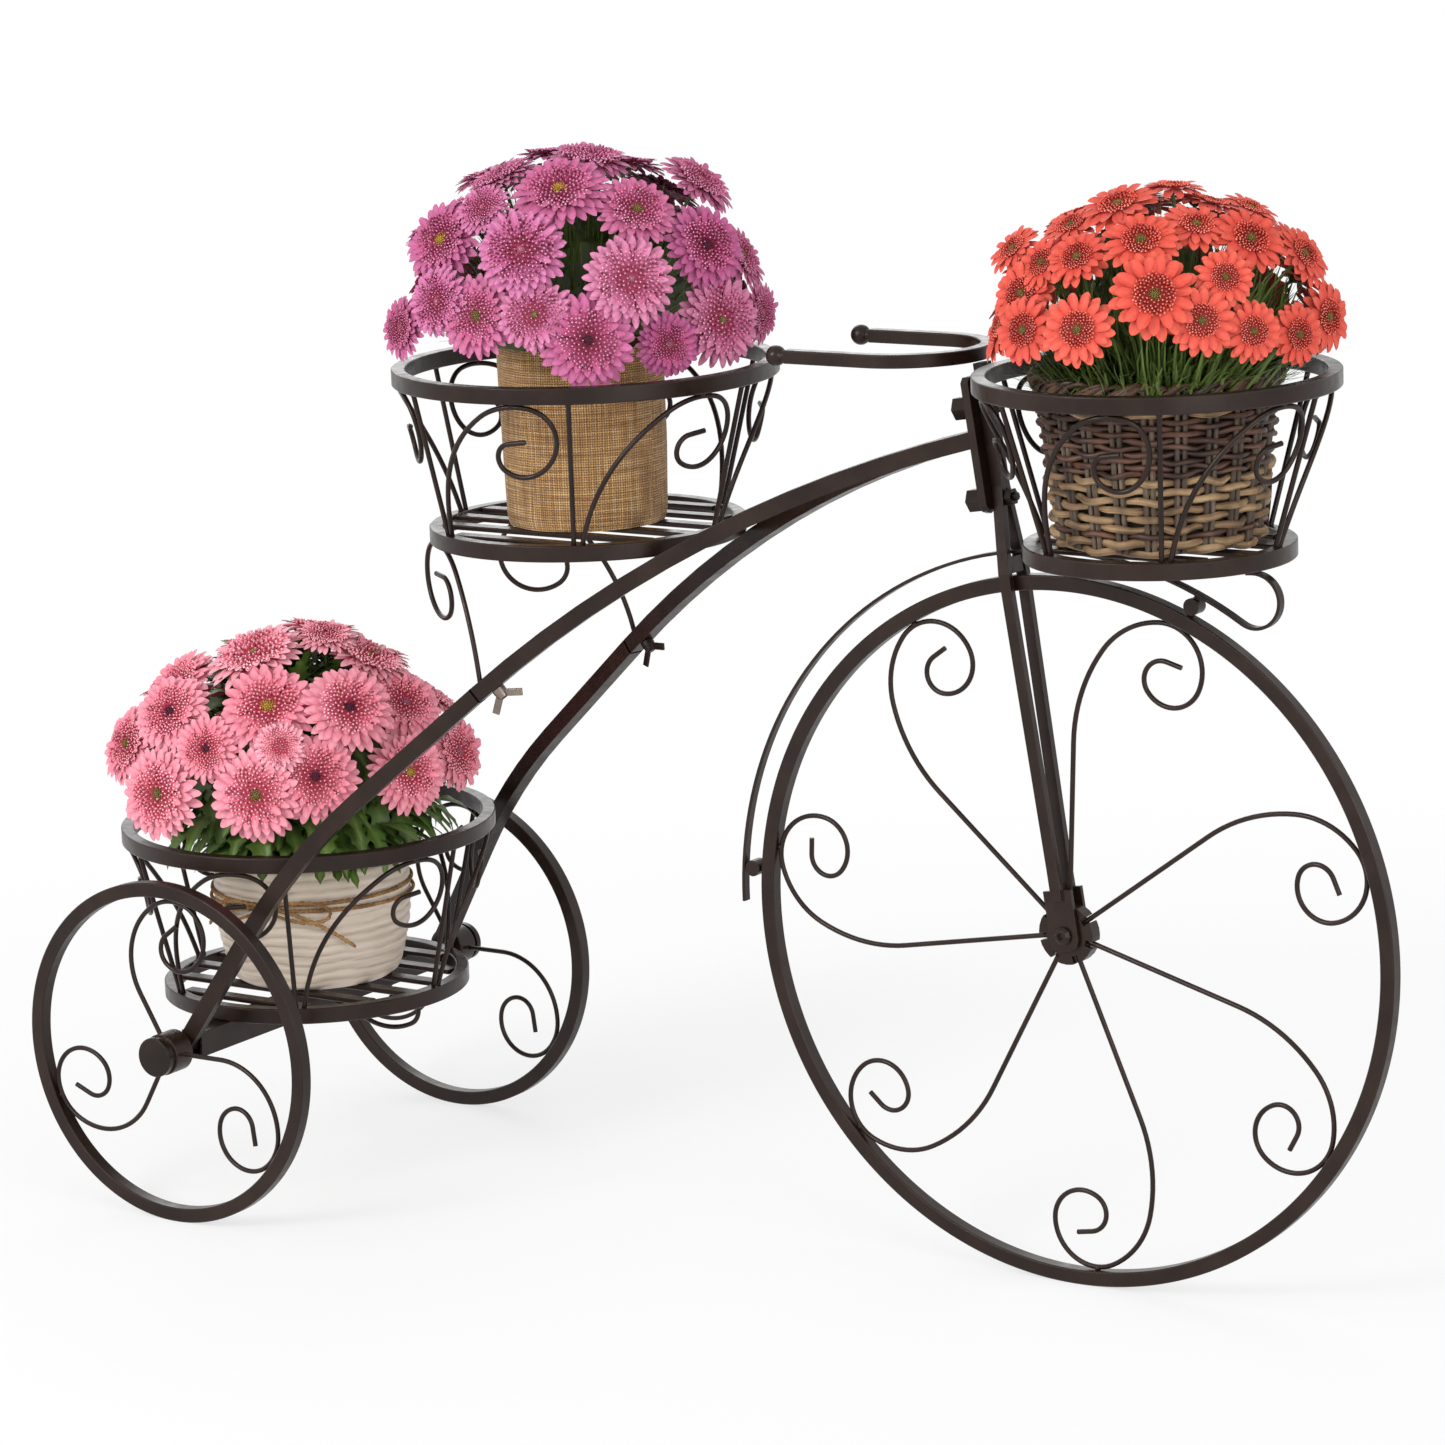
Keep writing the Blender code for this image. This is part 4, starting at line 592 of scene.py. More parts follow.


# The third colour of each metal is the colour of its painted edge highlight.
IRON = metal_look("iron_coat", (36, 22, 16), (49, 33, 26), (86, 68, 60), 0.34, 0.2)
HARDWARE = metal_look("hardware_coat", (36, 26, 22), (50, 38, 33), (98, 84, 76), 0.34, 0.4, 0.0004)
# Painted shadow: near-black and dull, for the band that stands in for the shaded groove at each tube seam.
SEAM = metal_look("seam_shadow", (5, 4, 4), (9, 7, 6), (9, 7, 6), 0.9, 0.0, 0.0001, shine=0.02)
BARE = metal_look("bare_zinc", (112, 100, 92), (150, 138, 128), (190, 180, 170), 0.4, 0.8, 0.0003)
BURLAP = burlap_look()
WILLOW = streaked_look("peeled_willow", (76, 56, 38), (136, 108, 76), (182, 154, 116), 0.65)
BARK = streaked_look("dark_bark", (28, 14, 10), (66, 38, 27), (116, 80, 60), 0.5)
STAKE = streaked_look("grey_stake", (48, 38, 30), (84, 70, 58), (122, 106, 90), 0.75)
TWINE = streaked_look("jute_twine", (96, 66, 34), (142, 104, 62), (184, 146, 96), 0.85, 900.0, 60.0)
SOIL = streaked_look("moss_and_soil", (22, 16, 10), (40, 30, 18), (60, 52, 28), 0.9)
CERAMIC = ceramic_look()
HEART = heart_look()
ORCHID = petal_look(
    "orchid_petal",
    ((100, 8, 34), (160, 40, 86), (174, 76, 128), (188, 102, 152), (228, 160, 186)),
    ((140, 34, 66), (182, 78, 116), (192, 100, 138), (206, 130, 164), (238, 190, 208)),
    (0.0, 0.35, 0.55, 0.8, 1.0))
CORAL = petal_look(
    "coral_petal",
    ((118, 10, 8), (180, 40, 28), (206, 70, 54), (221, 93, 74), (246, 150, 130)),
    ((138, 16, 14), (194, 50, 36), (214, 80, 63), (230, 106, 86), (252, 168, 150)))
ROSE = petal_look(
    "rose_petal",
    ((146, 20, 44), (198, 72, 96), (221, 124, 142), (233, 153, 168), (247, 197, 205)),
    ((168, 44, 68), (208, 94, 116), (227, 138, 155), (238, 168, 182), (251, 210, 217)))
LEAF = leaf_look("broad_leaf", (34, 56, 16), (90, 124, 42), (140, 164, 86))
GRASS = leaf_look("fine_leaf", (34, 52, 16), (98, 122, 48), (130, 150, 78))


# Ironwork
def iron(name, shape, node, body="frame"):
    """A piece of coated iron that takes the place of one CAD node."""
    piece(name, shape, [IRON], body, [node])


def add_spoke(shape, centre, root, bends, tail, turn):
    """A scrolled spoke that just meets the rim of its wheel, with a small weld there."""
    limit = centre[2] - RIM_BAR - SPOKE_RADIUS - SEAT_GAP
    path = scroll_reaching(limit, lambda point: point.length, (0, root), 90, bends, tail)
    cosine, sine = math.cos(math.radians(turn)), math.sin(math.radians(turn))
    points = [(centre[0] + cosine * point.x - sine * point.y, centre[1],
               centre[2] + sine * point.x + cosine * point.y) for point in path]
    shape.add(tube(points, SPOKE_RADIUS))
    touch = Vector(points[max(range(len(path)), key=lambda index: path[index].length)])
    away = (touch - Vector(centre)).normalized()
    shape.add(ball(SPOKE_RADIUS * 1.25, touch + away * SPOKE_RADIUS * 0.6))


def front_spokes():
    """The seven scrolled spokes of the front wheel."""
    root = HUB_RADIUS - HUB_SLOT_DEPTH + SEAT_GAP
    for index in range(FRONT_SPOKES):
        shape = Shape()
        add_spoke(shape, (FRONT_AXLE_X, 0, FRONT_RADIUS), root, FRONT_SPOKE_BENDS, FRONT_SPOKE_TAIL,
                  FRONT_SPOKE_START - 90 - index * 360 / FRONT_SPOKES)
        iron(f"front_spoke_scroll_{index + 1}", shape, f"front_spoke_{index + 1}")


def rear_hubs():
    """The rear hubs, each with its spokes and a flat cap on its outer side."""
    half, boss, drum, cap = REAR_HUB_HALF, REAR_BOSS_RADIUS, REAR_DRUM_RADIUS, REAR_CAP_RADIUS
    top = half + REAR_BOSS_HEIGHT
    low, high = top + SEAT_GAP, top + SEAT_GAP + CAP_HEIGHT
    hub_profile = ((REAR_HUB_BORE, top), (boss - EDGE, top), (boss, top - EDGE), (boss, half),
                   (drum - EDGE, half), (drum, half - EDGE), (drum, EDGE - half), (drum - EDGE, -half),
                   (REAR_HUB_BORE, -half))
    cap_profile = ((0, high + CAP_CROWN[0]), (cap * 0.6, high + CAP_CROWN[1]), (cap - EDGE, high),
                   (cap, high - EDGE), (cap, low), (0, low))
    root = REAR_HUB_RADIUS - HUB_SLOT_DEPTH - WELD_DEPTH
    for word, side in SIDES:
        centre = (REAR_AXLE_X, side * HALF_TRACK, REAR_RADIUS)
        place = shifted(*centre) @ UPRIGHT @ turned(180 if side > 0 else 0, "X")
        hub, lid = Shape(), Shape()
        hub.add(placed(lathe(hub_profile), place))
        for index in range(REAR_SPOKES):
            add_spoke(hub, centre, root, REAR_SPOKE_BENDS, REAR_SPOKE_TAIL, -90 - index * 360 / REAR_SPOKES)
        iron(f"rear_{word}_hub_scrolls", hub, f"rear_{word}_hub", "rear_wheel_" + word)
        lid.add(placed(lathe(cap_profile, closed=False), place))
        piece(f"rear_{word}_flat_cap", lid, [HARDWARE], "rear_wheel_" + word, [f"rear_{word}_cap"])


def basket(prefix, centre, shift, bottom_radius, top_radius, height):
    """One basket's two rings with slats, straight wires and scrolled wires."""
    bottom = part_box(prefix + "_base")[0].z
    base, rail = Shape(), Shape()
    for shape, radius, x, top in ((base, bottom_radius, centre, RING_HEIGHT),
                                  (rail, top_radius, centre + shift, height)):
        shape.add(placed(ring(radius, RING_WIDTH, top, RING_HEIGHT), shifted(x, 0, bottom)))
    inside = bottom_radius - RING_WIDTH + WELD_DEPTH
    level = bottom + RING_HEIGHT - SLAT_SINK - SLAT_THICKNESS / 2
    count = int((inside - SLAT_WIDTH) / SLAT_PITCH + 1 / 2)
    for index in range(-count, count):
        across = (index + 1 / 2) * SLAT_PITCH
        half = math.sqrt(inside * inside - (abs(across) + SLAT_WIDTH / 2) ** 2)
        base.add(placed(box_bar(2 * half, SLAT_WIDTH, SLAT_THICKNESS), shifted(centre, across, level)))
    low, high = bottom_radius - RING_WIDTH / 2, top_radius - RING_WIDTH / 2
    span = height - 2 * RING_HEIGHT

    def on_side(turn, rise):
        share = rise / span
        foot = (centre + share * shift, 0, bottom + RING_HEIGHT)
        return around(foot, low + share * (high - low), math.radians(turn), rise)

    path = scroll_reaching(span - WIRE_RADIUS - SEAT_GAP, lambda point: point.y,
                           (SCROLL_SHIFT, -WELD_DEPTH), SCROLL_HEADING, SCROLL_BENDS, SCROLL_TAIL)
    foot = SCROLL_SHIFT / low
    for index in range(BASKET_WIRES):
        turn = index * 360 / BASKET_WIRES
        wire = [on_side(turn, span * share / 6) for share in range(7)]
        swings = [foot + (point.x - SCROLL_SHIFT) / SCROLL_REFERENCE_RADIUS for point in path]
        scroll = [on_side(turn + math.degrees(swing), point.y) for swing, point in zip(swings, path)]
        for shape, points, weld in ((rail, wire, wire[-1]), (base, scroll, scroll[0])):
            shape.add(tube(points, WIRE_RADIUS))
            shape.add(ball(WIRE_RADIUS * 1.45, weld, (1, 1, 0.75)))
        highest = Vector(max(scroll, key=lambda point: point[2]))
        base.add(ball(WIRE_RADIUS * 1.2, highest + Vector((0, 0, WIRE_RADIUS * 0.5))))
    iron(prefix + "_base_scrolls", base, prefix + "_base")
    iron(prefix + "_rail_wires", rail, prefix + "_rail")


def rims():
    """The three wheels' rims, rolled from square bar."""
    wheels = [("front", "frame", FRONT_AXLE_X, 0, FRONT_RADIUS, FRONT_RIM_STEPS)]
    for word, side in SIDES:
        wheels.append(("rear_" + word, "rear_wheel_" + word, REAR_AXLE_X, side * HALF_TRACK, REAR_RADIUS,
                       REAR_RIM_STEPS))
    for prefix, body, x, y, radius, steps in wheels:
        shape = Shape()
        form = ring(radius, RIM_BAR, RIM_BAR / 2, RIM_BAR, steps)
        shape.add(placed(form, shifted(x, y, radius) @ UPRIGHT))
        iron(prefix + "_rim_bar", shape, prefix + "_rim", body)


def strap():
    """The strap over the front wheel, which curls up at its front end."""
    rear, front = STRAP_ANGLES
    middle = STRAP_RADIUS - STRAP_THICKNESS / 2
    start = around((FRONT_AXLE_X, FRONT_RADIUS, 0), middle, math.radians(rear))[:2]
    path = bent_path(start, rear - 90, 0, ((middle, rear - front),), 0)
    path += bent_path(path[-1], front - 90, 0, STRAP_CURL, STRAP_CURL_TAIL)[1:]
    shape = Shape()
    section = rounded_section(STRAP_WIDTH / 2, STRAP_THICKNESS / 2, EDGE / 2)
    shape.add(tube([(point.x, 0, point.y) for point in path], section=section))
    iron("fender_strap_bar", shape, "fender_strap")


def handlebar():
    """The flat U of the handlebar with a ball on each end."""
    level = HANDLE_UNDERSIDE + HANDLE_BAR / 2
    rake = math.tan(math.radians(FORK_RAKE))
    front = FRONT_AXLE_X - (HANDLE_UNDERSIDE - FRONT_RADIUS) * rake - HANDLE_SETBACK
    end = front - HANDLE_RADIUS - HANDLE_ARM
    path = bent_path((end, HANDLE_RADIUS), 0, HANDLE_ARM, ((HANDLE_RADIUS, 180),), HANDLE_ARM)
    shape = Shape()
    section = rounded_section(HANDLE_BAR / 2, HANDLE_BAR / 2)
    shape.add(tube([(point.x, point.y, level) for point in path], section=section))
    neck_angle = math.asin(BALL_NECK_RADIUS / BALL_RADIUS)
    centre = BALL_NECK_LENGTH + BALL_RADIUS * math.cos(neck_angle)
    tip, rows = 0.00005, 12
    profile = [(tip, centre + BALL_RADIUS)]
    for row in range(1, rows + 1):
        angle = (math.pi - neck_angle) * row / rows
        profile.append((BALL_RADIUS * math.sin(angle), centre + BALL_RADIUS * math.cos(angle)))
    profile += [(BALL_NECK_RADIUS, 0), (tip, 0)]
    for side in (1, -1):
        place = shifted(end + WELD_DEPTH, side * HANDLE_RADIUS, level) @ turned(-90, "Y")
        shape.add(placed(lathe(profile, TURNED_STEPS // 2), place))
    iron("handlebar_with_balls", shape, "handlebar")


def over_node(points, name):
    """Points moved so that their bar lies where a CAD node does."""
    table = np.array([tuple(point) for point in points])
    low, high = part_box(name)
    middle = np.array(low + high) / 2
    return table + (middle - (table.min(0) + table.max(0)) / 2)


def legs_and_brace():
    """The scrolled legs under the upper basket and the scrolled brace under the lower one."""
    base_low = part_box("upper_basket_base")[0].z
    centre = Vector((BASKETS[1][1], 0, 0))
    middle_radius = BASKETS[1][3] - RING_WIDTH / 2
    turn = math.radians(LEG_TURN)
    for word, side in SIDES:
        node = "basket_leg_" + word
        low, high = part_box(node)
        rise = base_low - low.z - WIRE_RADIUS - SEAT_GAP
        path = scroll_reaching(rise, lambda point: point.y, (0, 0), LEG_HEADING, LEG_BENDS, LEG_TAIL)
        top = max(path, key=lambda point: point.y)
        along = Vector((math.cos(turn), side * math.sin(turn), 0))
        outward = Vector((-math.sin(turn), side * math.cos(turn), 0))
        foot = Vector((high.x, (low.y + high.y) / 2, low.z))
        for _ in range(4):
            level = Vector((foot.x, foot.y, 0)) + top.x * along - centre
            across = level.dot(outward)
            shift = -across + math.sqrt(max(across * across - level.length_squared + middle_radius ** 2, 0))
            upward = Vector((0, 0, 1)) + shift / top.y * outward
            points = [foot + point.x * along + point.y * upward for point in path]
            laid = over_node(points, node)
            foot = foot + Vector(laid[0] - np.array(points[0]))
        shape = Shape()
        ending = laid[0] - laid[1]
        root = laid[0] + ending / np.linalg.norm(ending) * LEG_SINK
        shape.add(tube(np.vstack([root, laid]), WIRE_RADIUS))
        iron(node + "_scroll", shape, node)
    path = bent_path((0, 0), BRACE_HEADING, BRACE_STRAIGHT, BRACE_BENDS, BRACE_TAIL)
    shape = Shape()
    shape.add(tube(over_node([(point.x, 0, point.y) for point in path], "lower_basket_brace"), WIRE_RADIUS))
    iron("lower_brace_scroll", shape, "lower_basket_brace")


def seam_fittings():
    """The painted shadow band round each tube seam, in place of the seam's shaded groove, and the wing nut
    that hangs beside it.
    """
    for (word, side), look in zip(SIDES, (HARDWARE, BARE)):
        low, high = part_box("seam_stud_" + word)
        down, along = (Vector((row[0], -side * row[1], row[2])) for row in (SEAM_DOWN, SEAM_ALONG))
        down.normalize()
        along = (along - along.dot(down) * down).normalized()
        seat = Matrix((along, down.cross(along), down)).transposed().to_4x4()
        seat.translation = (low + high) / 2 + SEAM_SEAT * down
        line, nut = Shape(), Shape()
        # A thin near-black band round the tube, painted shadow in place of the seam's shaded groove.
        line.add(placed(box_bar(SEAM_LINE[0], SEAM_LINE[1], SEAM_LINE[1]),
                        seat @ shifted(-SEAM_SETBACK, 0, -SEAM_DEPTH)))
        piece("seam_shadow_band_" + word, line, [SEAM], "frame", ())
        nut.add(placed(lathe(WING_HUB, 32), seat))
        for turn in (-WING_RISE, 180 + WING_RISE):
            place = seat @ shifted(0, 0, WING_ROOT[1]) @ turned(turn, "Y") @ turned(90, "X")
            nut.add(placed(box_bar(WING_LENGTH, WING_WIDTH, WING_THICKNESS),
                           place @ shifted(WING_ROOT[0] + WING_LENGTH / 2)))
        piece("wing_nut_spread_" + word, nut, [look], "frame", ["wing_nut_" + word])


rims()
strap()
handlebar()
legs_and_brace()
seam_fittings()
front_spokes()
rear_hubs()
for row in BASKETS:
    basket(*row)

FASTENERS = ("front_axle", "head_bolt", "head_nut", "seam_stud", "rear_axle", "front_basket_bolt",
             "wing_nut_left")
for name, obj in frame["nodes"].items():
    obj.data.materials.clear()
    if name == "wing_nut_right":
        obj.data.materials.append(BARE)
    else:
        obj.data.materials.append(HARDWARE if name.startswith(FASTENERS) or name.endswith("_cap") else IRON)


# Pots
def foot_of(low, high):
    """The middle of a pot's underside."""
    return ((low.x + high.x) / 2, (low.y + high.y) / 2, low.z)


def burlap_pot():
    """A cylinder of burlap with soft creases, a turned top edge and a seam at the back."""
    low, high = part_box("burlap_pot")
    foot, height = (foot_of(low, high)[0], 0, low.z), high.z - low.z
    rows, columns = 40, 120
    top_radius, foot_radius, edge_drop, foot_point = 0.0513, 0.0496, 0.0008, 0.0005
    circle = [2 * math.pi * column / columns for column in range(columns + 1)]
    points, tones = [], []
    for row in range(rows + 1):
        share = row / rows
        for turn in circle:
            radius = foot_radius + share * (top_radius - foot_radius)
            radius += 0.0011 * drifting(turn, 3, share * 2.4) + 0.0005 * drifting(turn, 8, share * 1.2 + 7)
            radius -= 0.0016 * max(0.0, 1 - share * 14) ** 2
            edge = 0.0011 * drifting(turn, 5, 3) - edge_drop if row == rows else 0
            points.append(around(foot, radius, turn, share * height + edge))
            tones.append(share * height)
    for depth, inset in ((0.0, 0.0018), (0.018, 0.0026)):
        points += [around(foot, top_radius - inset, turn, height - depth - edge_drop) for turn in circle]
        tones += [height + depth + 0.002] * len(circle)
    faces = grid_faces(rows + 3, columns + 1)
    faces += [(len(points), column + 1, column) for column in range(columns)]
    points.append(around(foot, 0, 0, foot_point))
    shape = Shape()
    shape.add((points, faces), tones + [0], [turn * top_radius for turn in circle] * (rows + 3) + [0])
    piece("burlap_wrap", shape, [BURLAP], "burlap_planting", ["burlap_pot"], 60, cloth=True)


def stick(shape, points, radius, look, sides=7, closed=False, rough=0.10):
    """A willow stick: a tube with small knots, with its own map."""
    bumps = np.array([1 + rough * noise.noise(Vector(point) * 140) * 2 for point in points])
    steps = np.concatenate([[0], np.cumsum(np.linalg.norm(np.diff(np.array(points), axis=0), axis=1))])
    chances = np.tile(np.arange(sides) / sides * 0.02, len(points)) + 0.001 * shape.count
    shape.add(tube(points, radius * bumps, sides, closed=closed), np.repeat(steps, sides), chances, look)


STAKES, STAKE_SPREAD, STAKE_RADIUS, ROD_STEPS = 22, 1.9, 0.0017, 6
WICKER_FOOT, WICKER_TOP = 0.0570, 0.0690
TWIGS, TWIG_RISE, TWIG_RADIUS, TWIG_STEPS = 7, 0.0075, 0.0018, 160
# The woven rods: how high each lies, its radius, and 0 for willow or 1 for bark
RODS = [(0.0026, 0.0023, 0), (0.0072, 0.0025, 0), (0.0120, 0.0018, 1)]
RODS += [(0.0164 + 0.0053 * number, 0.0022, 0) for number in range(6)]
RODS += [(0.0478 + 0.0038 * number, 0.0016 + 0.0002 * (number % 2), 1) for number in range(9)]
RODS += [(0.0822, 0.0022, 0), (0.0862, 0.0019, 0), (0.0898, 0.0017, 1)]


def wicker_pot():
    """Stakes in pairs with willow rods woven between them, a band of dark bark and a bark rim."""
    low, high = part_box("wicker_pot")
    foot, height = (foot_of(low, high)[0], 0, low.z), high.z - low.z + TWIG_RISE
    shape, liner = Shape(), Shape()

    def wall(rise):
        return WICKER_FOOT + (WICKER_TOP - WICKER_FOOT) * rise / height

    for index in range(STAKES):
        for offset in (-STAKE_SPREAD, STAKE_SPREAD):
            turn = math.radians(index * 360 / STAKES + offset)
            points = []
            for step in range(9):
                rise = 0.002 + (height - 0.007) * step / 8
                sway = 0.0006 * noise.noise(Vector((index, offset, step * 0.7)))
                points.append(around(foot, wall(rise) + sway, turn, rise))
            stick(shape, points, STAKE_RADIUS, 2)
    for number, (rise, radius, look) in enumerate(RODS):
        start = RANDOM.uniform(0, 6)
        points = []
        for step, turn in enumerate(circle_of(STAKES * ROD_STEPS)):
            weave = math.cos(step * math.pi / ROD_STEPS + number % 2 * math.pi)
            drift = drifting(turn, 4, number * 1.7 + start)
            reach = wall(rise) + (0.0012 + radius * 0.75) * weave + 0.0011 * drift
            lift = rise + 0.0022 * drift + 0.0004 * math.sin(step * 0.9 + number)
            points.append(around(foot, reach, turn, lift))
        stick(shape, points, radius, look, closed=True)
    for number in range(TWIGS):
        points = []
        for turn in circle_of(TWIG_STEPS):
            twist = (9 + number % 3) * turn + number * 2 * math.pi / TWIGS
            drift = drifting(turn, 6, number * 2.3)
            reach = 0.0694 + 0.0024 * math.cos(twist) + 0.0012 * drift
            lift = height - 0.0068 + 0.0042 * math.sin(twist) + 0.0014 * drift
            points.append(around(foot, reach, turn, lift))
        stick(shape, points, TWIG_RADIUS, 1, closed=True, rough=0.3)
    piece("wicker_weave", shape, [WILLOW, BARK, STAKE], "wicker_planting", ["wicker_pot"], 60,
          cloth=True)
    profile = [(0.001, 0.001), (0.0535, 0.001), (0.0640, height - 0.006), (0.0620, height - 0.006),
               (0.0518, 0.003), (0.001, 0.003)]
    liner.add(placed(lathe(profile), shifted(*foot)))
    piece("wicker_liner", liner, [SOIL], "wicker_planting", cloth=True)


CERAMIC_FOOT, CERAMIC_TOP, CERAMIC_BELLY, CERAMIC_LIP, CERAMIC_WALL = 0.0540, 0.0610, 0.0060, 0.004, 0.0035
CERAMIC_RIBS, RIB_DEPTH = 14, 0.0012
TWINE_RISE, BOW_TURN = 0.058, math.radians(-80)


def ceramic_radius(share):
    """The pot's outer radius at a share of its height, drawn in at the foot's edge."""
    swell = CERAMIC_BELLY * math.sin(math.pi * share)
    tuck = 0.0035 * max(0, 1 - share * 16) ** 2
    return CERAMIC_FOOT + share * (CERAMIC_TOP - CERAMIC_FOOT) + swell - tuck


def ceramic_pot():
    """A bellied pot with uneven horizontal ribs, like coiled clay."""
    low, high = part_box("ceramic_pot")
    foot, height = foot_of(low, high), high.z - low.z + CERAMIC_LIP
    rows, columns = 96, 144
    points, tones = [], []
    for row in range(rows + 1):
        share = row / rows
        fade = min(1, share * 9) * min(1, (1 - share) * 14)
        for turn in circle_of(columns):
            spot = Vector((2.2 * math.cos(turn), 2.2 * math.sin(turn), share * 3))
            phase = share * CERAMIC_RIBS + 0.42 * noise.noise(spot) + 0.16 * noise.noise(spot * 3.1)
            rib = abs(math.sin(math.pi * phase)) ** 0.6
            radius = ceramic_radius(share) - RIB_DEPTH * (1 - rib) * fade
            points.append(around(foot, radius, turn, share * height))
            # The rib tone, low in the grooves, sets the pot's painted shade.
            tones.append(rib if fade > 0 else 1)
    inner = CERAMIC_TOP - CERAMIC_WALL
    for radius, rise in ((inner + 0.0015, height), (inner, height - 0.0015), (inner, height - 0.014),
                         (0.0020, height - 0.016)):
        points += [around(foot, radius, turn, rise) for turn in circle_of(columns)]
    faces = grid_faces(rows + 5, columns, True)
    faces += [(len(points), (column + 1) % columns, column) for column in range(columns)]
    points.append(foot)
    shape = Shape()
    shape.add((points, faces), tones + [1] * (len(points) - len(tones)))
    piece("ceramic_ribs", shape, [CERAMIC], "ceramic_planting", ["ceramic_pot"], 50)


def twine_bow():
    """Two turns of jute twine with a loose bow on the near side."""
    low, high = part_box("ceramic_pot")
    centre = (low + high) / 2
    middle = (centre.x, centre.y, low.z + TWINE_RISE)
    wall = ceramic_radius(TWINE_RISE / (high.z - low.z + CERAMIC_LIP)) + 0.0006
    shape = Shape()

    def yarn(points, radius=0.0012, closed=False):
        """Two strands that twist round each other along points."""
        line = np.array(points, float)
        steps = np.concatenate([[0], np.cumsum(np.linalg.norm(np.diff(line, axis=0), axis=1))])
        for turn in (0, math.pi):
            angles = steps / 0.0045 * math.pi + turn
            twist = np.stack([0 * angles, np.cos(angles), np.sin(angles)], 1)
            stick(shape, list(line + 0.55 * radius * twist), radius * 0.78, 0, 6, closed, 0.05)

    for number, drop in enumerate((0.0035, -0.0045)):
        reach = wall + 0.0008 * (number + 0.2)
        yarn([around(middle, reach, turn, drop * (0.35 + 0.65 * abs(math.sin((turn - BOW_TURN) / 2))))
              for turn in circle_of(180)], closed=True)

    def on_pot(side, rise, lift):
        """A point beside the knot that keeps to the pot's round wall."""
        return around(middle, wall + 0.0016 + lift, BOW_TURN + side / wall, rise)

    for side, span, drop in ((1, 0.042, -0.0035), (-1, 0.034, -0.0050)):
        loop = []
        for step in range(29):
            angle = 2 * math.pi * step / 28
            reach = (1 - math.cos(angle)) / 2
            rise = 0.0088 * math.sin(angle) * (0.35 + 0.65 * reach) + drop * reach
            loop.append(on_pot(side * span * reach, rise, 0.0012 + 0.0040 * math.sin(angle / 2)))
        yarn(loop)
    for side, span, drop in ((1, 0.056, -0.027), (-1, 0.050, -0.017)):
        end = []
        for step in range(21):
            share = step / 20
            end.append(on_pot(side * span * share ** 0.85, drop * share ** 1.6, 0.0008 + 0.0030 * share))
        yarn(end)
    out = Vector((math.cos(BOW_TURN), math.sin(BOW_TURN), 0))
    along = Vector((-math.sin(BOW_TURN), math.cos(BOW_TURN), 0))
    knot = Vector(middle) + out * (wall + 0.0018)
    for turn in (0.4, 1.6, 2.7):
        circle = []
        for angle in circle_of(14):
            offset = along * math.cos(angle) * math.cos(turn) + Vector((0, 0, 1)) * math.sin(angle)
            lift = 0.0014 + 0.0012 * math.cos(angle) * math.sin(turn)
            circle.append(tuple(knot + 0.0022 * offset + out * lift))
        yarn(circle, 0.0011, True)
    piece("jute_bow", shape, [TWINE], "ceramic_planting", ["twine_bow"], 60, cloth=True)


burlap_pot()
wicker_pot()
ceramic_pot()
twine_bow()


# Flowers
PETAL_PLACES = (0, 0.25, 0.55, 0.82, 0.95, 1.0)
PETAL_WIDTHS = (0.34, 0.64, 0.96, 0.86, 0.50, 0.08)
PETAL_CUP = 0.28
# Painted shade: how much darker a petal's sides are, so that the gaps between petals read as shaded lines.
PETAL_SIDE_PAINTED_SHADE = 0.14


def petal(base, length, width, lift, droop, first_tone, last_tone):
    """A petal that grows along +X: rows of a left, a middle and a right point, with its tones."""
    points, tones = [], []
    place, rise, before = base, 0.0, 0.0
    for share, wide in zip(PETAL_PLACES, PETAL_WIDTHS):
        angle = math.radians(lift - droop * share)
        place += length * (share - before) * math.cos(angle)
        rise += length * (share - before) * math.sin(angle)
        before = share
        half = width * wide / 2
        for side in (-1, 0, 1):
            points.append((place, side * half, rise + PETAL_CUP * half * abs(side)))
            # The sides take painted shade, for the dark lines between petals.
            tones.append(first_tone + (last_tone - first_tone) * share - PETAL_SIDE_PAINTED_SHADE * abs(side))
    return np.array(points), np.array(tones), grid_faces(len(PETAL_PLACES), 3)


def floret(base, length, width, lift, first_tone, last_tone):
    """A small tube floret that grows outwards from the heart."""
    angle = math.radians(lift)
    points, tones = [], []
    for share, wide, glow in ((0, 0.6, 0), (0.62, 1.0, 0.25), (1.0, 0.75, 1)):
        for turn in (90, 210, 330):
            across, up, _ = around((0, 0, 0), width / 2 * wide, math.radians(turn))
            points.append((base + length * share * math.cos(angle) - up * math.sin(angle), across,
                           length * share * math.sin(angle) + up * math.cos(angle)))
            tones.append(first_tone + (last_tone - first_tone) * glow)
    return np.array(points), np.array(tones), grid_faces(3, 3, True) + [(6, 7, 8)]


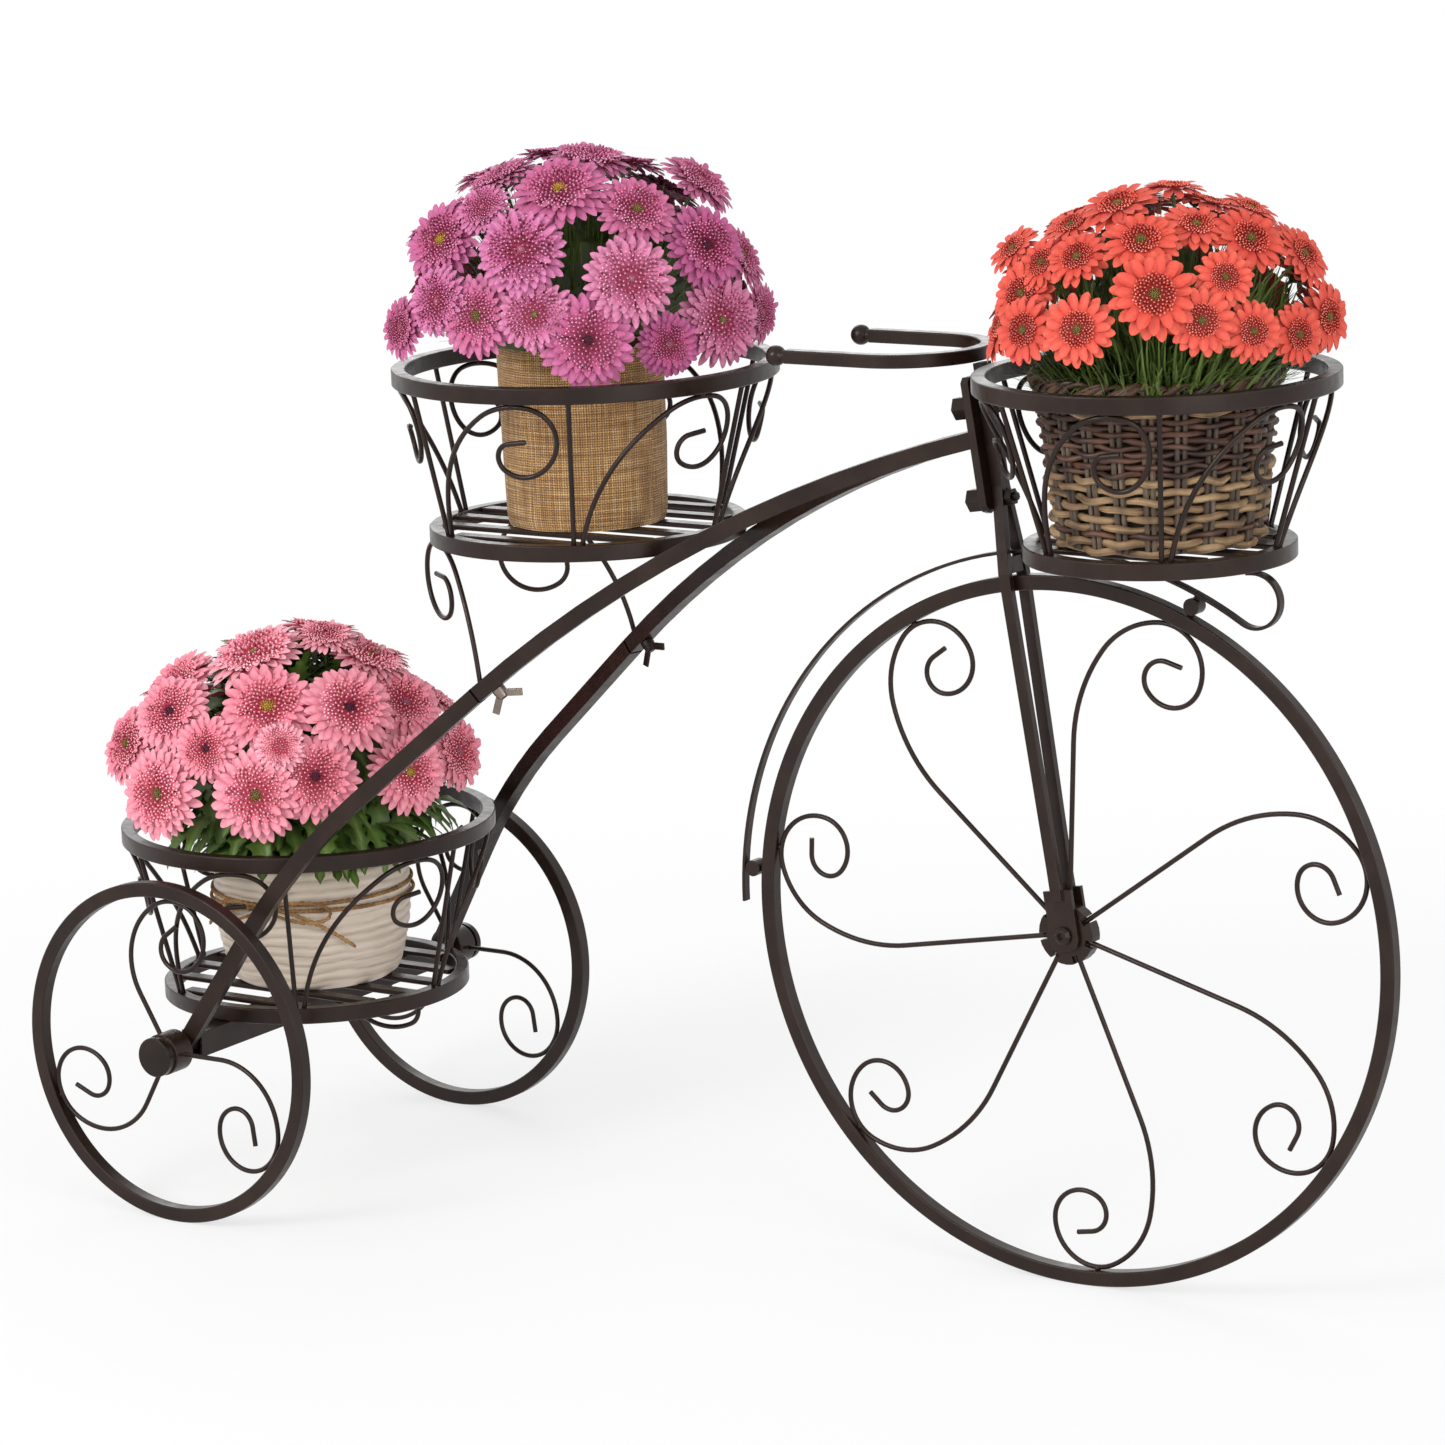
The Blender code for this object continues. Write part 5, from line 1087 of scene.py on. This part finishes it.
# The kinds of bloom, in shares of the bloom's radius.
# Petals, a row for each ring: how many, where they start, length, width, lift, droop, first and last tone.
# Florets: how many, from where to where, length, width and last tone.
LARGE_BLOOM = {
    "petals": ((26, 0.20, 0.80, 0.215, 4, 20, 0.54, 0.74), (24, 0.18, 0.72, 0.20, 12, 15, 0.50, 0.72),
               (21, 0.16, 0.58, 0.16, 22, 12, 0.36, 0.66)),
    "florets": (180, 0.08, 0.60, 0.12, 0.066, 1.0), "heart": 0.10}
PALE_BLOOM = {
    "petals": ((25, 0.20, 0.80, 0.20, 3, 20, 0.62, 0.84), (25, 0.18, 0.74, 0.19, 11, 15, 0.56, 0.84),
               (24, 0.16, 0.66, 0.16, 20, 13, 0.45, 0.84)),
    "florets": (190, 0.04, 0.70, 0.13, 0.068, 1.0), "heart": 0.05}
CORAL_BLOOM = {
    "petals": ((17, 0.22, 0.78, 0.29, 5, 22, 0.52, 0.74), (15, 0.20, 0.68, 0.27, 14, 16, 0.46, 0.72)),
    "florets": (110, 0.09, 0.46, 0.11, 0.066, 1.0), "heart": 0.10}
GREEN_CUP = ((0.03, -0.20), (0.10, -0.17), (0.19, -0.09), (0.22, -0.03), (0.05, -0.02))
HEART_GRAINS = 40


def bloom(shape, matrix, radius, kind, chance, heart, green):
    """One flower: rings of petals, rings of florets, a domed heart and a green cup behind."""
    table = np.array(matrix, float)

    def put(points, tones, faces, angle=0, tilt=0, look=0, luck=chance):
        cosine, sine = math.cos(angle), math.sin(angle)
        x, y, z = np.asarray(points, float).T
        y = y + z * tilt
        turned_points = np.stack([x * cosine - y * sine, x * sine + y * cosine, z], 1)
        shape.add((turned_points * radius @ table[:3, :3].T + table[:3, 3], faces), tones, luck, look)

    for count, base, length, width, lift, droop, first, last in kind["petals"]:
        start = RANDOM.uniform(0, 2 * math.pi)
        for index in range(count):
            angle = start + 2 * math.pi * (index + RANDOM.uniform(-0.18, 0.18)) / count
            made = petal(base, length * RANDOM.uniform(0.9, 1.03), width * RANDOM.uniform(0.9, 1.08),
                         lift + RANDOM.uniform(-4, 4), droop + RANDOM.uniform(-7, 7), first, last)
            put(*made, angle, RANDOM.uniform(-0.12, 0.12))
    count, inner, outer, length, width, last = kind["florets"]
    for index in range(count):
        share = (index + 0.5) / count
        reach = inner + (outer - inner) * math.sqrt(share)
        points, tones, faces = floret(
            reach - 0.6 * length * share, length * RANDOM.uniform(0.8, 1.15), width * (0.75 + 0.4 * share),
            84 - 52 * share + RANDOM.uniform(-9, 9), 0.0, last * RANDOM.uniform(0.75, 1.0))
        rise = np.array([0, 0, 0.035 + 0.035 * share])
        put(points + rise, tones, faces, math.radians(index * GOLDEN_TURN))
    bed, faces = ball(outer, (0, 0, -0.005), (1, 1, 0.09), 14)
    put(bed, 0.12, faces)
    size = kind["heart"]
    centre, faces = ball(size, (0, 0, 0.05), (1, 1, 0.30))
    put(centre, 0.0, faces, look=1, luck=heart)
    for index in range(HEART_GRAINS):
        share = (index + 0.5) / HEART_GRAINS
        points, tones, faces = floret(size * 1.45 * share ** 0.62, 0.05, 0.036, 86 - 30 * share, 0.2,
                                      1.0 - 0.5 * share)
        rise = np.array([0, 0, 0.070 - 0.030 * share])
        put(points + rise, tones, faces, math.radians(index * GOLDEN_TURN), look=1, luck=heart)
    points, faces = lathe(GREEN_CUP, 10, closed=False)
    put(points, 0.1, faces, look=2, luck=green)


def blade(shape, start, end, width, bend, chance, steps=4):
    """A narrow leaf from one point to another, bent a little."""
    start, end = np.array(start, float), np.array(end, float)
    along = end - start
    side = np.cross(along, (0.3, 0.2, 1.0))
    side /= max(np.linalg.norm(side), 1e-9)
    points, tones = [], []
    for step in range(steps + 1):
        share = step / steps
        middle = start + along * share + np.array(bend) * math.sin(math.pi * share * 0.8)
        half = width / 2 * (1 - share) ** 0.6 + width * 0.04
        for place in (-1, 0, 1):
            points.append(middle + side * half * place + np.array([0, 0, 0.15 * half * abs(place)]))
        tones += [0.0, 1.0, 0.0]
    shape.add((points, grid_faces(steps + 1, 3)), tones, chance)


def lobed_leaf(shape, start, heading, rise, length, width, droop, chance):
    """A broad toothed leaf that grows from a point, bends down and is creased along its midrib."""
    steps, widest = 14, 0.34
    out = np.array([math.cos(heading), math.sin(heading), 0.0])
    side = np.array([-math.sin(heading), math.cos(heading), 0.0])
    place = np.array(start, float)
    points, tones = [], []
    for step in range(steps + 1):
        share = step / steps
        angle = math.radians(rise - droop * share)
        direction = out * math.cos(angle) + np.array([0, 0, math.sin(angle)])
        up = -out * math.sin(angle) + np.array([0, 0, math.cos(angle)])
        place = place + direction * length / steps
        lobe = 1 - 0.38 * abs(math.sin(share * math.pi * 3.5))
        fall = 1 - max(0.0, share - widest) / (1 - widest)
        taper = min(1.0, 0.12 + share / widest) ** 0.7 * fall ** 0.8
        half = width / 2 * taper * lobe
        for across in (-1, -0.5, 0, 0.5, 1):
            points.append(place + side * half * across + direction * 0.35 * half * abs(across)
                          + up * half * (0.32 * abs(across) - 0.10 * across * across))
            tones.append(1 - abs(across) ** 0.5)
    shape.add((points, grid_faces(steps + 1, 5)), tones, chance)


def facing(place, direction, spin):
    """A matrix at a place whose Z looks along a direction."""
    turn = Vector(direction).normalized().to_track_quat("Z", "Y").to_matrix().to_4x4()
    return Matrix.Translation(place) @ turn @ Matrix.Rotation(spin, 4, "Z")


def on_dome(dome, azimuth, elevation):
    """A point on a bouquet's dome and the direction straight out of it."""
    centre, wide, high = dome
    a, e = math.radians(azimuth), math.radians(elevation)
    unit = Vector((math.cos(e) * math.cos(a), math.cos(e) * math.sin(a), math.sin(e)))
    place = Vector(centre) + Vector((wide * unit.x, wide * unit.y, high * unit.z))
    normal = Vector((unit.x / wide, unit.y / wide, unit.z / high)).normalized()
    return place, normal, unit


def stem(shape, start, end, chance, radius=0.0011):
    """A stem from a bloom's cup down to the pot's mouth."""
    start, end = Vector(start), Vector(end)
    middle = (start + end) / 2 + Vector((0, 0, 0.010))
    points = []
    for step in range(9):
        share = step / 8
        points.append((1 - share) ** 2 * start + 2 * share * (1 - share) * middle + share * share * end)
    shape.add(tube(points, radius, 6), 0.3, chance, 2)


SEEN_SIDE = Vector((0.55, -0.81, 0.20))
FILL_TRIES = 420


def bouquet(name, node, body, dome, seen, growth, fill_limits, size_range, kinds, hearts,
            petals_look, leaf, mouth):
    """A dome of blooms: the ones that the photograph shows, then others over the far side."""
    shape = Shape()
    flowers = [(azimuth, elevation, size * growth / 2000, kind, heart)
               for azimuth, elevation, size, kind, heart in seen]
    units = [on_dome(dome, azimuth, elevation)[2] for azimuth, elevation, *_ in flowers]
    for index in range(FILL_TRIES):
        share = (index + 0.5) / FILL_TRIES
        elevation = math.degrees(math.asin(1 - share * (1 - math.sin(math.radians(fill_limits[0])))))
        azimuth = (index * GOLDEN_TURN) % 360
        unit = on_dome(dome, azimuth, elevation)[2]
        if min(unit.angle(other) for other in units) >= math.radians(fill_limits[1]):
            units.append(unit)
            flowers.append((azimuth, elevation, RANDOM.uniform(*size_range) / 2, kinds[index % len(kinds)],
                            hearts[index % len(hearts)]))
    for number, (azimuth, elevation, radius, kind, heart) in enumerate(flowers):
        place, normal, _ = on_dome(dome, azimuth, elevation)
        look_to = normal + Vector(RANDOM.uniform(-0.12, 0.12, 3).tolist())
        if number < len(seen):
            lean = min(1.0, max(0.0, (62 - elevation) / 30))
            look_to += SEEN_SIDE * (0.5 * lean) + Vector((0, 0, 0.08))
            place = place - normal * RANDOM.uniform(-0.004, 0.006)
        else:
            look_to.z += 0.25 + 0.6 * max(0.0, math.sin(math.radians(elevation)))
            place = place - normal * RANDOM.uniform(0.002, 0.010)
        matrix = facing(place, look_to, RANDOM.uniform(0, 6.28))
        chance = float(np.clip(RANDOM.uniform(0.0, 0.75) + (0.25 if kind is PALE_BLOOM else 0), 0, 1))
        bloom(shape, matrix, radius, kind, chance, heart, RANDOM.uniform(0, 0.6))
        back = place - Vector(matrix.col[2][:3]) * radius * 0.19
        reach = mouth[2] * RANDOM.uniform(0.15, 0.75)
        foot = around((mouth[0], mouth[1], mouth[3]), reach, math.radians(azimuth))
        stem(shape, back, foot, RANDOM.uniform(0, 0.6))
    piece(name, shape, [petals_look, HEART, leaf], body, [node], 75)


def core(shape, dome, scale, base):
    """The inside of a bouquet: a lumpy dome that ends at the pot's mouth, kept to the dark end of the leaf
    colours as painted shade for the bouquet's shaded depth.
    """
    centre, wide, high = dome
    rows, columns, lumps, lowest = 14, 28, 0.012, 128
    points = []
    for row in range(rows + 1):
        elevation = math.radians(90 - lowest * row / rows)
        for turn in circle_of(columns):
            unit = Vector(around((0, 0, math.sin(elevation)), math.cos(elevation), turn))
            lump = lumps * noise.noise(unit * 5)
            reach = Vector((wide * scale + lump, wide * scale + lump, high * scale + lump))
            place = Vector(centre) + reach * unit
            place.z = max(place.z, base)
            points.append(place)
    # A low chance keeps the dome to the darker leaf colour, painted shade for the depth of the bouquet.
    shape.add((points, grid_faces(rows + 1, columns, True)), 0.0, 0.1)


def tufts(shape, dome, count, start_radius, base, reach, width, elevations):
    """Fine blades that fan out from the pot's mouth into the dome."""
    inside = Vector((dome[0][0], dome[0][1], base))
    for _ in range(count):
        azimuth = RANDOM.uniform(0, 360)
        place = on_dome(dome, azimuth, RANDOM.uniform(*elevations))[0]
        outward = Vector(around((0, 0, 0), 1, math.radians(azimuth)))
        foot = inside + outward * start_radius * RANDOM.uniform(0.3, 1.0)
        end = foot + (place - foot) * RANDOM.uniform(*reach)
        bend = RANDOM.uniform(-0.008, 0.008, 3) + np.array([0, 0, 0.006])
        blade(shape, foot, end, width * RANDOM.uniform(0.7, 1.3), bend, RANDOM.uniform(0, 1))


# Domes: their middle, half width and height
BURLAP_DOME = ((-0.0988, 0.0, 0.570), 0.108, 0.103)
WICKER_DOME = ((0.3060, 0.0, 0.578), 0.096, 0.082)
CERAMIC_DOME = ((-0.3380, -0.003, 0.259), 0.107, 0.096)
# Blooms that the photograph shows: azimuth and elevation on the dome, width in millimetres, kind, and
# hue of the heart
L, P, C = LARGE_BLOOM, PALE_BLOOM, CORAL_BLOOM
BURLAP_BLOOMS = (
    (-62, 53, 54, L, 0.1), (-117, 31, 48, L, 0.1), (-97, 43, 32, P, 0.9), (-120, 62, 42, P, 0.9),
    (-74, 28, 50, P, 0.9), (-27, 42, 46, L, 0.3), (-37, 17, 50, P, 0.9), (-4, 25, 48, L, 0.6),
    (-24, 78, 46, P, 0.9), (38, 46, 46, L, 0.9), (36, 18, 42, L, 0.3), (-106, 10, 40, P, 0.9),
    (-91, 6, 46, L, 0.3), (-69, 7, 42, P, 0.3), (-52, -2, 52, L, 0.6), (-3, 0, 52, P, 0.3),
    (-24, -6, 36, L, 0.9), (-137, -2, 36, L, 0.9), (30, -2, 36, L, 0.9))
WICKER_BLOOMS = [(*row, C, 0.3) for row in (
    (-91, 64, 44), (-16, 82, 36), (-37, 54, 38), (-68, 44, 42), (-14, 42, 42), (-62, 21, 47), (-88, 8, 40),
    (-46, 11, 38), (-27, 5, 34), (-6, 1, 35), (19, 4, 40), (15, 30, 36), (34, 36, 30), (28, 56, 34),
    (10, 68, 32), (-98, 38, 36), (-118, 34, 32), (-150, 34, 32), (-124, 54, 34), (-122, 20, 38),
    (-112, 6, 38), (-35, 27, 32))]
CERAMIC_BLOOMS = (
    (-142, 15, 48, L, 0.3), (-108, 34, 48, L, 0.6), (-85, 23, 40, L, 0.6), (-103, 4, 54, L, 0.3),
    (-65, 6, 54, L, 0.3), (-62, 41, 56, L, 0.1), (-27, 36, 54, L, 0.6), (-44, 12, 52, L, 0.6),
    (-6, 8, 48, L, 0.1), (8, 35, 48, L, 0.9), (-84, 68, 58, P, 0.3), (40, 78, 52, L, 0.9),
    (14, 58, 52, P, 0.3), (-132, 46, 48, L, 0.9), (-6, 72, 36, P, 0.9), (-56, 24, 30, P, 0.9),
    (28, 8, 46, L, 0.9))

bouquet("orchid_bouquet", "burlap_plant", "burlap_planting", BURLAP_DOME, BURLAP_BLOOMS,
        1.17, (-6, 22), (0.048, 0.058), (L, P, L, P, L), (0.1, 0.9, 0.6, 0.3), ORCHID, GRASS,
        (-0.0988, 0, 0.044, 0.552))
bouquet("coral_bouquet", "wicker_plant", "wicker_planting", WICKER_DOME, WICKER_BLOOMS,
        1.12, (-2, 20), (0.040, 0.048), (C,), (0.3,), CORAL, GRASS, (0.3037, 0, 0.060, 0.546))
bouquet("rose_bouquet", "ceramic_plant", "ceramic_planting", CERAMIC_DOME, CERAMIC_BLOOMS,
        1.18, (-2, 24), (0.052, 0.062), (L, L, P, L), (0.3, 0.6, 0.1, 0.9), ROSE, LEAF,
        (-0.3313, 0, 0.050, 0.205))

# Fine foliage: name, pot, body, dome, scale of its core, its sink in the pot, and rows of blades:
# how many, radius at the mouth, least and greatest reach, width, lowest and highest elevation
FINE_FOLIAGE = (
    ("fine_foliage_upper", "burlap_pot", "burlap_planting", BURLAP_DOME, 0.62, 0.006,
     ((1500, 0.046, (0.55, 0.93), 0.0030, (-8, 85)),)),
    ("fine_foliage_front", "wicker_pot", "wicker_planting", WICKER_DOME, 0.50, 0.008,
     ((1300, 0.062, (0.55, 0.95), 0.0024, (-24, 80)), (800, 0.066, (0.6, 1.0), 0.0024, (-26, 12)))),
)
# Rings of broad leaves round the ceramic pot's mouth: how many, and the ranges of their reach and height,
# of the angle at which they start, of their length and of their droop
LEAF_RINGS = (
    (60, (0.026, 0.050), (0.004, 0.022), (0, 30), (0.036, 0.052), (30, 85)),
    (70, (0.044, 0.062), (0.022, 0.044), (-20, 20), (0.034, 0.046), (40, 90)),
    (28, (0.064, 0.078), (0.030, 0.044), (-25, 5), (0.030, 0.040), (40, 75)),
)
DOME_LEAVES = 300


def fine_foliage(name, pot, body, dome, scale, sink, rows):
    """The grassy leaves of one bouquet."""
    shape = Shape()
    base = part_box(pot)[1].z - sink
    core(shape, dome, scale, base)
    for count, start_radius, reach, width, elevations in rows:
        tufts(shape, dome, count, start_radius, base, reach, width, elevations)
    piece(name, shape, [GRASS], body)


def broad_foliage():
    """The broad leaves of the ceramic pot's bouquet, in rings round its mouth and over its dome."""
    shape = Shape()
    low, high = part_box("ceramic_pot")
    core(shape, CERAMIC_DOME, 0.62, high.z - 0.006)
    middle = foot_of(low, high)
    mouth = (middle[0], middle[1], high.z - 0.004)
    for count, reaches, rises, starts, lengths, droops in LEAF_RINGS:
        for index in range(count):
            heading = math.radians(index * 360 / count + RANDOM.uniform(-6, 6))
            start = around(mouth, RANDOM.uniform(*reaches), heading, RANDOM.uniform(*rises))
            lobed_leaf(shape, start, heading + RANDOM.uniform(-0.5, 0.5), RANDOM.uniform(*starts),
                       RANDOM.uniform(*lengths), RANDOM.uniform(0.015, 0.022), RANDOM.uniform(*droops),
                       RANDOM.uniform(0, 1))
    for index in range(DOME_LEAVES):
        azimuth = index * GOLDEN_TURN % 360
        elevation = RANDOM.uniform(-12, 88)
        place, normal, _ = on_dome(CERAMIC_DOME, azimuth, elevation)
        start = place - normal * (RANDOM.uniform(0.036, 0.050) - 0.012 * (elevation > 55))
        lobed_leaf(shape, start, math.radians(azimuth) + RANDOM.uniform(-1.1, 1.1),
                   elevation + RANDOM.uniform(-60, 0), RANDOM.uniform(0.024, 0.036),
                   RANDOM.uniform(0.014, 0.022), RANDOM.uniform(10, 70), RANDOM.uniform(0, 1))
    piece("broad_foliage_lower", shape, [LEAF], "ceramic_planting")


for row in FINE_FOLIAGE:
    fine_foliage(*row)
broad_foliage()


# Stage: floor, light and camera
LIGHT_SIDE = (0.42, -0.80, 0.10)
FLOOR_HALF = 30
MIDDLE = (0, 0, 0.3)


def white_to_the_camera(name, colour, share):
    """A pale diffuse floor that is lifted towards white where it is seen directly."""
    made = Nodes(bpy.data.materials.new(name))
    made.tree.nodes.clear()
    far = made.eased(made.vectors("LENGTH", made.place(), output="Value"), 0.45, 1.5, share, 1.0)
    diffuse = made.add("BsdfDiffuse", {"Color": (*colour, 1)})
    blend = {0: made.maths("MULTIPLY", made.seen_directly(), far), 1: diffuse, 2: made.add("Emission")}
    made.add("OutputMaterial", {"Surface": made.add("MixShader", blend)}, None)
    return made.owner


def floor():
    """A wide floor that the object stands on."""
    half = FLOOR_HALF
    mesh = bpy.data.meshes.new("floor")
    corners = [(-half, -half, 0), (half, -half, 0), (half, half, 0), (-half, half, 0)]
    mesh.from_pydata(corners, [], [(0, 1, 2, 3)])
    mesh.materials.append(white_to_the_camera("pale_floor", (0.9, 0.9, 0.9), 0.68))
    obj = bpy.data.objects.new("floor", mesh)
    bpy.context.scene.collection.objects.link(obj)


def world():
    """Even light that is a little stronger from the near side, and a white background."""
    made = Nodes(bpy.data.worlds.new("studio"))
    bpy.context.scene.world = made.owner
    light = made.tree.nodes["Background"]
    light.inputs["Strength"].default_value = 1.0
    towards = made.vectors("DOT_PRODUCT", made.add("TexCoord", output="Generated"), LIGHT_SIDE, "Value")
    made.put(light.inputs["Color"], made.eased(towards, -0.6, 0.9, 0.42, 1.0))
    shown = made.add("Background", {"Color": (1, 1, 1, 1), "Strength": 1.0})
    blend = made.add("MixShader", {0: made.seen_directly(), 1: light.outputs[0], 2: shown})
    made.put(made.tree.nodes["World Output"].inputs["Surface"], blend)


def lamp(name, place, size, power):
    """A square area lamp that looks at the object's middle."""
    data = bpy.data.lights.new(name, "AREA")
    data.shape = "SQUARE"
    data.size = size
    data.energy = power
    obj = bpy.data.objects.new(name, data)
    obj.location = place
    obj.rotation_euler = (Vector(MIDDLE) - Vector(place)).to_track_quat("-Z", "Y").to_euler()
    bpy.context.scene.collection.objects.link(obj)


def camera():
    """The camera that was fitted to the photograph."""
    azimuth, elevation, roll = (math.radians(v) for v in (CAMERA_AZIMUTH, CAMERA_ELEVATION, CAMERA_ROLL))
    ahead = Vector((-math.sin(azimuth) * math.cos(elevation), math.cos(azimuth) * math.cos(elevation),
                    -math.sin(elevation)))
    right = Vector((math.cos(azimuth), math.sin(azimuth), 0))
    up = right.cross(ahead)
    side = math.cos(roll) * right + math.sin(roll) * up
    top = -math.sin(roll) * right + math.cos(roll) * up
    data = bpy.data.cameras.new("camera")
    data.lens = CAMERA_LENS
    data.sensor_width = SENSOR_WIDTH
    data.clip_end = 200
    obj = bpy.data.objects.new("camera", data)
    matrix = Matrix((side, top, -ahead)).transposed().to_4x4()
    matrix.translation = Vector(CAMERA_PLACE)
    obj.matrix_world = matrix
    bpy.context.scene.collection.objects.link(obj)
    bpy.context.scene.camera = obj


floor()
world()
lamp("key", (-0.9, -3.0, 1.9), 1.2, 62)
lamp("fill", (3.0, -1.6, 1.2), 1.6, 34)
lamp("back", (-1.6, 2.0, 1.6), 1.6, 16)
camera()
bpy.context.scene.view_settings.view_transform = "Standard"
